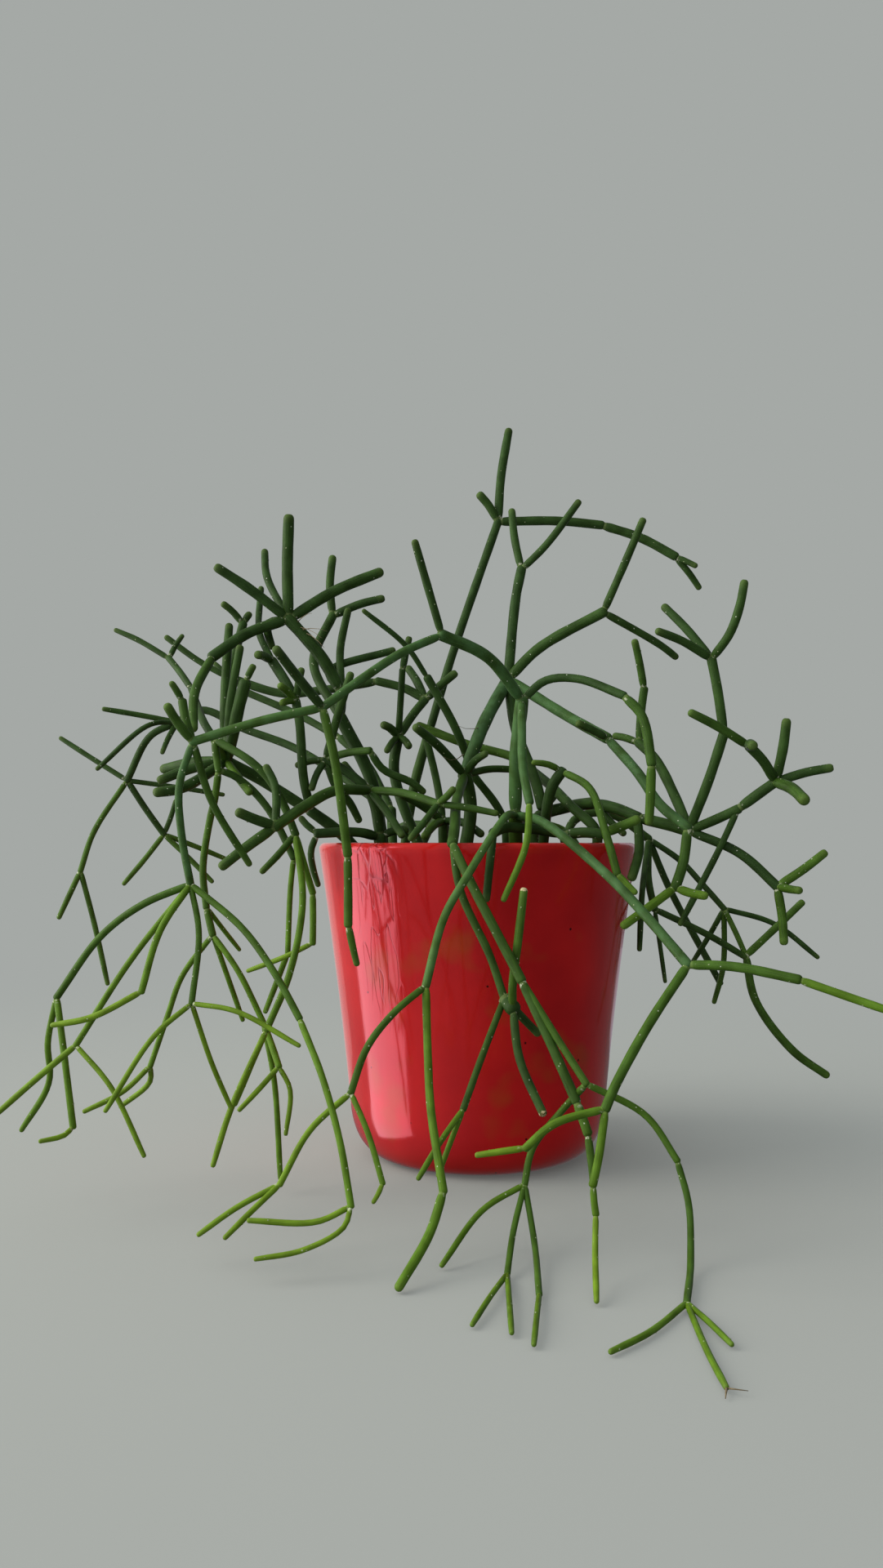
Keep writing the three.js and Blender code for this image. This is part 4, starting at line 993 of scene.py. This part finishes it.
left_stems = [
    ["d1", "root", 4.6, [-54.5, -19, 128.5], [-67.5, -24, 138.5]],
    ["d2", "d1", 4.5, [-85, -30, 149.5], [-98.5, -38, 157]],
    ["d3", "d2", 3.6, [-99, -32, 172], [-100.5, -20, 197], [-101, -12, 214]],
    ["d4", "d2", 3.4, [-96.5, -34, 178], [-93, -32, 202]],
    ["d5", "d2", 4.6, [-93, -46, 166.5], [-90, -50, 177], [-87, -54, 185.5]],
    ["d39", "d5", 2.8, [-84, -54, 191]],
    ["d7", "d2", 3.6, [-99, -24, 175.5], [-99, -12, 199], [-96.5, -4, 216.5]],
    ["d34", "d7", 3.2, [-94, -2, 220.5]],
    ["d6", "d7", 3.0, [-105, -8, 223.5]],
    ["d8", "d2", 4.2, [-126, -20, 154]],
    ["d9", "d2", 3.8, [-122, -44, 148]],
    ["d10", "d2", 4.0, [-110, -56, 145], [-119, -62, 143]],
    ["d11", "d2", 3.2, [-85, -54, 143]],
    ["d35", "d2", 3.0, [-98.5, -56, 163.5]],
    ["d36", "d35", 3.0, [-104, -46, 170], [-111.5, -24, 180], [-117.5, -6, 188.5]],
    ["d40", "d36", 2.8, [-130.5, 8, 203.5]],
    ["d41", "d40", 2.4, [-143.5, 10, 211], [-154.5, 12, 216]],
    ["d42", "d40", 2.4, [-124.5, 10, 213.5]],
    ["d12", "d35", 3.0, [-84, -60, 154.5], [-77, -60, 147.5], [-72, -59, 138.5], [-67.5, -58, 127]],
    ["d13", "d12", 2.5, [-65, -60, 119], [-61, -60, 106]],
    ["d14", "d12", 2.5, [-64, -68, 104], [-68, -72, 79], [-76, -74, 59]],
    ["d15", "d35", 2.8, [-96.5, -55, 150.5]],
    ["d37", "d15", 2.8, [-92, -52, 150], [-85.5, -50, 145], [-78.5, -49, 136.5], [-69, -50, 118.5]],
    ["d38", "d12", 2.7, [-80, -62, 114]],
    ["d16", "d37", 2.1, [-70.5, -51, 108], [-71, -54, 84]],
    ["d17", "d13", 2.4, [-61, -62, 88]],
    ["d18", "d17", 1.9, [-71, -60, 84], [-86, -54, 78]],
    ["d19", "d16", 2.2, [-79, -56, 63]],
    ["d20", "d14", 2.1, [-86, -84, 35], [-91, -90, 17]],
    ["d21", "d15", 2.7, [-98.5, -53, 140.5], [-100.5, -50, 134.5], [-103.5, -48, 115.5], [-102, -48, 100]],
    ["d22", "d21", 2.8, [-99, -50, 90]],
    ["d23", "d22", 2.1, [-110, -52, 76], [-115, -52, 62], [-121, -54, 43]],
    ["d24", "d23", 2.0, [-130, -56, 35], [-144, -58, 28]],
    ["d25", "d23", 2.0, [-122, -50, 37], [-134, -46, 27]],
    ["d26", "d22", 2.2, [-89, -54, 78], [-79, -56, 59]],
    ["d27", "d26", 2.1, [-75, -58, 39], [-72, -62, 5]],
    ["d28", "d26", 2.4, [-72, -66, 45]],
    ["d29", "d28", 2.0, [-86, -70, 31]],
    ["d30", "d28", 1.8, [-68, -68, 38], [-69, -72, 23]],
    ["d31", "d22", 2.0, [-89, -42, 58]],
    ["d32", "d21", 1.8, [-91, -38, 84]],
    ["d33", "d14", 2.1, [-88, -66, 32]],
    ["e1", "d1", 3.6, [-68, -33, 150], [-69.5, -34, 171], [-71.5, -32, 181]],
    ["e2", "e1", 4.0, [-75.5, -29, 187.5], [-82.5, -23, 198]],
    ["e3", "e2", 2.8, [-88, -13, 208], [-91, 0, 217], [-91.5, 6, 225.5], [-91.5, 10, 234]],
    ["e4", "e2", 3.6, [-86, -36, 197.5]],
    ["e5", "e1", 3.0, [-68.5, -36, 192.5]],
    ["e6", "e1", 3.2, [-76.5, -42, 185]],
    ["e7", "e1", 3.0, [-76, -40, 178]],
]
grow_spray(
    "left", (-44, -14), left_stems, "young_stem",
    mid="d12 d39 d38 d37",
    green="d21 d22 d15 d35 d11 e6 e7",
    light="d13 d14 d16 d17 d19 d23 d26 d27 d28 d31 d32",
    lime="d18 d20 d24 d25 d29 d30 d33",
)

# The left spray at the back
# Thin dark stems that reach far out to the left behind the others.

left_back_stems = [
    ["b1", "root", 4.2, [-37, 36, 141]],
    ["b21", "b1", 3.8, [-48.5, 48, 160.5], [-62, 56, 174]],
    ["b2", "b21", 3.5, [-82, 64, 185], [-107.5, 70, 196.5]],
    ["b18", "b2", 2.6, [-123.5, 72, 211]],
    ["b3", "b1", 3.7, [-82, 58, 168.5], [-107.5, 64, 178.5], [-127.5, 66, 187.5], [-140.5, 66, 181]],
    ["b4", "b3", 3.4, [-152, 66, 175], [-163, 66, 153]],
    ["b5", "b4", 2.5, [-196, 70, 175]],
    ["b6", "b4", 2.4, [-119, 80, 148]],
    ["b7", "b4", 2.6, [-176, 60, 130], [-181, 56, 111]],
    ["b8", "b7", 2.6, [-190, 54, 90]],
    ["b9", "b7", 2.5, [-175, 60, 87], [-169, 62, 59]],
    ["b10", "b4", 3.0, [-146, 74, 128]],
    ["b11", "b3", 2.6, [-144, 56, 166]],
    ["b12", "b10", 2.5, [-143, 82, 146]],
    ["b13", "b10", 2.5, [-165, 70, 105]],
    ["b14", "b10", 2.5, [-123, 74, 106]],
    ["b15", "b10", 2.5, [-119, 86, 117]],
    ["b16", "b3", 2.4, [-150, 54, 179], [-172, 48, 158]],
    ["b17", "b3", 2.6, [-172, 56, 187]],
]
grow_spray("left_back", (-36, 30), left_back_stems, "old_stem", green="b7 b8 b9 b13 b14 b15")

# The whorled spray
# A thick dark stem on the left whose end carries a wheel of short thick ones.

whorl_stems = [
    ["f1", "root", 5.2, [-44, 0, 151], [-57, -6, 178]],
    ["f2", "f1", 4.8, [-55, -10, 188]],
    ["f3", "f2", 5.0, [-64, -12, 201], [-78, -14, 217]],
    ["f4", "f3", 4.6, [-77, -16, 236], [-76, -20, 257]],
    ["f5", "f3", 4.1, [-105, -24, 235]],
    ["f6", "f3", 3.2, [-87, -4, 235], [-89, 2, 248]],
    ["f7", "f3", 4.5, [-39, -2, 238]],
    ["f8", "f3", 4.4, [-92, -21, 208.5], [-106, -28, 197]],
    ["f9", "f8", 3.6, [-108, -44, 182], [-106, -56, 166]],
    ["f10", "f1", 4.0, [-69, 10, 202], [-61, 16, 224]],
    ["f11", "f10", 3.6, [-63, 18, 236], [-62, 20, 250]],
    ["f12", "f10", 3.6, [-39, 14, 230]],
    ["f13", "f2", 3.3, [-57, 2, 206], [-54, 6, 224]],
    ["f14", "f2", 3.3, [-61, -2, 196], [-34, 4, 206]],
    ["f21", "f3", 3.4, [-85.5, -11, 214], [-84, -8, 204]],
]
grow_spray(
    "whorl", (-38, 1.4), whorl_stems, "old_stem",
    mid="f9 f17 f18",
    strands=[
        ((-72, -15, 212), (-62, -23, 206), (0, 0, 1), 0.4),
        ((-71, -15, 211), (-60, -22, 209), (0, 0, 1), 0.4),
        ((-73, -15, 214), (-66, -24, 216), (0, 0, 1), 0.4),
        ((-70, -14, 210), (-61, -24, 202), (0, 0, 1), 0.4),
    ],
)

# The spray over the left of the rim
# Short thick stems that cross one another just above the rim.

rim_left_stems = [
    ["k1", "root", 5.0, [-39, -27, 129]],
    ["k2", "k1", 4.6, [-40, -28, 138], [-43, -32, 147]],
    ["k3", "k2", 4.0, [-55, -52, 144], [-64, -64, 138], [-74, -74, 130]],
    ["k4", "k3", 3.8, [-86, -80, 136]],
    ["k5", "k3", 3.8, [-92, -77, 116]],
    ["k7", "k2", 3.2, [-15, -54, 139]],
    ["k8", "k7", 2.7, [6, -60, 135.5]],
    ["k9", "k7", 2.8, [-10, -60, 145]],
    ["k10", "k7", 2.7, [-26, -72, 126]],
    ["k11", "k2", 3.2, [-29, -46, 127]],
    ["k12", "k2", 3.6, [-61, -30, 158]],
    ["k13", "k12", 2.8, [-72, -27, 155]],
    ["k14", "k12", 3.0, [-41, -42, 160]],
    ["k15", "k12", 3.2, [-56, -36, 169], [-49, -42, 190]],
    ["k16", "k12", 2.8, [-65, -34, 145]],
    ["k17", "k1", 3.8, [-46.5, -33, 129], [-63.5, -38, 128.5]],
    ["k24", "k17", 2.6, [-64.5, -37, 122], [-64, -34, 115], [-62, -32, 108]],
    ["k23", "k1", 3.4, [-27.5, -24, 130]],
    ["k18", "k12", 3.2, [-56, -28, 147], [-51, -24, 141], [-47, -20, 133]],
    ["k19", "k2", 3.2, [-50, -22, 152], [-54, -20, 157]],
    ["k20", "k14", 3.0, [-37, -38, 153], [-26, -36, 148], [-21, -34, 144]],
    ["k21", "k17", 2.8, [-69, -36, 135]],
    ["k22", "k3", 3.0, [-74, -68, 145], [-78, -66, 153]],
]
grow_spray("rim_left", (-38, -26), rim_left_stems, "old_stem", mid="k3 k5 k7 k8 k9 k14")

# The middle spray
# Thin dark stems with a knot of short ones, behind the tall spray.

middle_stems = [
    ["n1", "root", 4.6, [-35, 18, 155], [-33, 16, 172]],
    ["n2", "n1", 3.9, [-40, 8, 175]],
    ["n3", "n1", 3.0, [-38, 6, 163]],
    ["n4", "n1", 3.3, [-28, 9, 165]],
    ["n5", "n1", 3.8, [-21, 22, 188]],
    ["n6", "n5", 3.8, [-30, 24, 192], [-44, 26, 196]],
    ["n7", "n6", 3.8, [-69, 30, 192], [-85, 32, 191], [-111, 34, 199]],
    ["n8", "n7", 2.8, [-123, 34, 206], [-138, 34, 217]],
    ["n9", "n5", 3.8, [-8, 20, 199]],
    ["n10", "n5", 3.8, [-30, 32, 203]],
    ["n11", "n1", 2.8, [-31, 2, 198]],
    ["n12", "n11", 3.0, [-28, 0, 211]],
]
grow_spray("middle", (-22, 18), middle_stems, "old_stem")

# The straight spray
# One long straight stem at the back that carries the highest tips.

straight_stems = [
    ["s1", "root", 4.4, [-27, 40, 150], [-20, 42, 176]],
    ["s2", "s1", 3.9, [-9, 46, 213], [12, 52, 275]],
    ["s3", "s2", 4.1, [13, 54, 295], [17, 56, 319]],
    ["s4", "s2", 4.0, [2, 48, 286]],
    ["s5", "s2", 4.2, [39, 56, 275], [62, 60, 274]],
    ["s6", "s5", 4.2, [79, 60, 268], [96, 58, 258]],
    ["s7", "s6", 2.9, [104, 54, 253]],
    ["s8", "s6", 3.1, [107, 62, 244]],
]
grow_spray("straight", (-32, 40), straight_stems, "old_stem")

# The dark spray
# One old stem that leans from the middle of the pot to the left.

dark_stems = [
    ["l1", "root", 3.4, [11, 10, 136], [-2, 4, 154]],
    ["l2", "l1", 3.5, [-9, -6, 172], [-21, -12, 193]],
    ["l3", "l2", 2.2, [-29, -18, 204], [-46, -26, 217]],
]
grow_spray("dark", (13, 12), dark_stems, "old_stem")

# The short spray
# A short old stem in the middle of the pot with its side shoots.

short_stems = [
    ["m1", "root", 4.2, [-14, 6, 136]],
    ["m2", "m1", 3.2, [-17, 8, 152], [-22, 6, 172]],
    ["m3", "m1", 3.4, [-22, -14, 127]],
    ["m4", "m1", 3.4, [-5, -4, 133], [2, -12, 128]],
    ["m5", "m1", 3.8, [-23.5, 0, 141], [-32.5, -5, 145.5]],
]
grow_spray("short", (-14, 8), short_stems, "old_stem", green="m3")

# The inner spray on the right
# An old stem that leans back over the middle of the pot.

inner_right_stems = [
    ["g1", "root", 4.0, [45, -32, 129.5], [36.5, -25, 139], [29, -7, 149], [22.5, 8, 156]],
    ["g2", "g1", 3.8, [16.5, 17, 161.5], [-4, 24, 168], [-26, 30, 177]],
]
grow_spray("inner_right", (45, -30), inner_right_stems, "old_stem", green="g2")

# The front spray on the right
# A bent stem whose younger end hangs over the rim.

front_right_stems = [
    ["h1", "root", 4.2, [28, -30, 146], [33, -32, 154]],
    ["h2", "h1", 2.7, [20, -34, 156]],
    ["h3", "h1", 3.0, [41, -42, 146], [45, -62, 127], [48, -68, 113]],
    ["h4", "h3", 2.6, [54, -72, 107]],
]
grow_spray(
    "front_right", (25, -18), front_right_stems, "old_stem",
    green="h2 h3",
    light="h4",
)

# The spray along the front of the rim
# Old brown stems that lie along the rim, one of them hanging over it.

rim_front_stems = [
    ["p1", "root", 4.4, [31, -46, 129]],
    ["p2", "p1", 3.8, [20.5, -47, 130], [14, -52, 130.5], [8.5, -57, 130.5], [3, -62, 128]],
    ["p3", "p2", 3.0, [3, -72, 124], [1, -70, 104]],
    ["p4", "p1", 4.0, [46, -51, 128]],
    ["p5", "p4", 3.8, [58, -57, 134]],
]
grow_spray("rim_front", (35, -32), rim_front_stems, "old_stem", green="p5")

# The right spray
# Thick stems that lean out over the right of the rim to a joint with branches on every side.

right_stems = [
    ["r1", "root", 4.8, [24, -3, 134.5], [36.5, -6, 139.5], [47.5, -19, 141]],
    ["r2", "r1", 4.6, [62, -35, 134]],
    ["r3", "r2", 4.5, [80, -44, 129]],
    ["r4", "r2", 3.7, [59.5, -44, 121.5], [55.5, -50, 111]],
    ["r5", "r3", 3.8, [85, -48, 148], [91, -50, 167]],
    ["r6", "r5", 3.6, [86, -50, 195]],
    ["r7", "r6", 3.3, [70, -40, 216]],
    ["r8", "r6", 3.2, [64, -58, 203]],
    ["r9", "r6", 3.3, [91.5, -57, 202], [94.5, -60, 211.5], [96, -62, 221]],
    ["r11", "r3", 3.7, [96, -53, 138]],
    ["r12", "r11", 3.9, [108, -60, 148]],
    ["r13", "r12", 3.7, [110, -64, 170]],
    ["r14", "r12", 3.4, [126, -66, 152]],
    ["r15", "r12", 4.2, [109, -88, 139]],
    ["r16", "r12", 3.7, [94, -70, 160]],
    ["r17", "r16", 3.2, [72, -76, 171]],
    ["r18", "r16", 3.8, [92, -86, 158]],
    ["r19", "r11", 2.5, [88, -50, 122], [74, -46, 94]],
    ["r20", "r3", 3.6, [96, -50, 121], [109, -56, 108]],
    ["r21", "r20", 3.3, [125, -60, 122]],
    ["r22", "r20", 3.1, [113, -68, 108]],
    ["r23", "r20", 3.3, [109, -60, 88]],
    ["r27", "r3", 4.0, [76, -34, 141], [70, -22, 158], [64, -14, 166]],
    ["r28", "r27", 3.4, [66, -14, 179], [67, -16, 188]],
    ["r29", "r28", 3.1, [62, -22, 206]],
    ["r30", "r27", 3.2, [56, -4, 169]],
    ["r31", "r1", 2.9, [52, -24, 133], [57, -28, 128]],
]
grow_spray(
    "right", (24, -2), right_stems, "young_stem",
    mid="r15 r17 r28 r29 r30",
    green="r21 r22 r23",
)

# The thin spray on the right
# Thin dark stems that hang down behind the right of the pot.

thin_right_stems = [
    ["t1", "root", 3.8, [44, 33, 135], [60, 37, 138], [79, 40, 126]],
    ["t2", "t1", 2.7, [92, 40, 117], [100, 38, 108], [111, 36, 95]],
    ["t3", "t2", 2.4, [133, 38, 89], [152, 36, 74]],
    ["t4", "t2", 2.4, [118, 28, 75]],
    ["t5", "t2", 2.5, [111, 42, 70], [107, 44, 53]],
    ["t6", "t2", 2.4, [98, 46, 71]],
    ["t7", "t1", 3.2, [76, 30, 108], [78, 26, 95]],
    ["t8", "t7", 2.9, [101, 26, 85], [118, 28, 75]],
    ["t9", "t4", 3.2, [142, 24, 100]],
    ["t10", "t4", 3.5, [121, 26, 57], [136, 24, 36], [151, 22, 25]],
    ["t11", "t1", 2.6, [71, 18, 103], [69, 14, 79]],
    ["t12", "t7", 2.0, [81, 20, 65]],
    ["t13", "t1", 3.1, [89, 50, 104], [113, 54, 60]],
]
grow_spray("thin_right", (38, 30), thin_right_stems, "old_stem", green="t4 t5 t9 t10")

# The back spray on the left
# Stems that hang over the back of the rim.

back_left_stems = [
    ["v1", "root", 4.6, [-14, 56, 135], [-20, 74, 134]],
    ["v2", "v1", 4.0, [-26, 88, 118], [-30, 94, 92]],
    ["v3", "v2", 3.4, [-40, 98, 72], [-46, 100, 50]],
    ["v4", "v2", 3.2, [-26, 104, 74], [-20, 110, 52]],
    ["v5", "v4", 2.8, [-24, 114, 36], [-34, 120, 20]],
    ["v6", "v4", 2.8, [-10, 114, 34]],
    ["v7", "v3", 2.8, [-58, 104, 34]],
    ["v8", "v1", 3.4, [-36, 88, 132], [-50, 96, 114]],
    ["v9", "v8", 2.8, [-58, 104, 94]],
]
grow_spray(
    "back_left", (-12, 46), back_left_stems, "old_stem",
    green="v3 v4",
    light="v5 v6 v7 v9",
)

# The back spray on the right
# Stems that hang over the back of the rim.

back_right_stems = [
    ["w1", "root", 4.4, [20, 55, 136], [26, 74, 136]],
    ["w2", "w1", 3.8, [34, 90, 122], [38, 96, 98]],
    ["w3", "w2", 3.2, [46, 102, 80], [50, 104, 58]],
    ["w4", "w2", 3.0, [30, 104, 78], [26, 108, 56]],
    ["w5", "w3", 2.8, [58, 106, 40], [60, 110, 26]],
    ["w6", "w4", 2.6, [18, 112, 38]],
    ["w7", "w4", 2.6, [34, 112, 36]],
    ["w8", "w1", 3.2, [46, 84, 130], [58, 90, 112]],
]
grow_spray(
    "back_right", (18, 44), back_right_stems, "old_stem",
    green="w3 w4 w8",
    light="w5 w6 w7",
)
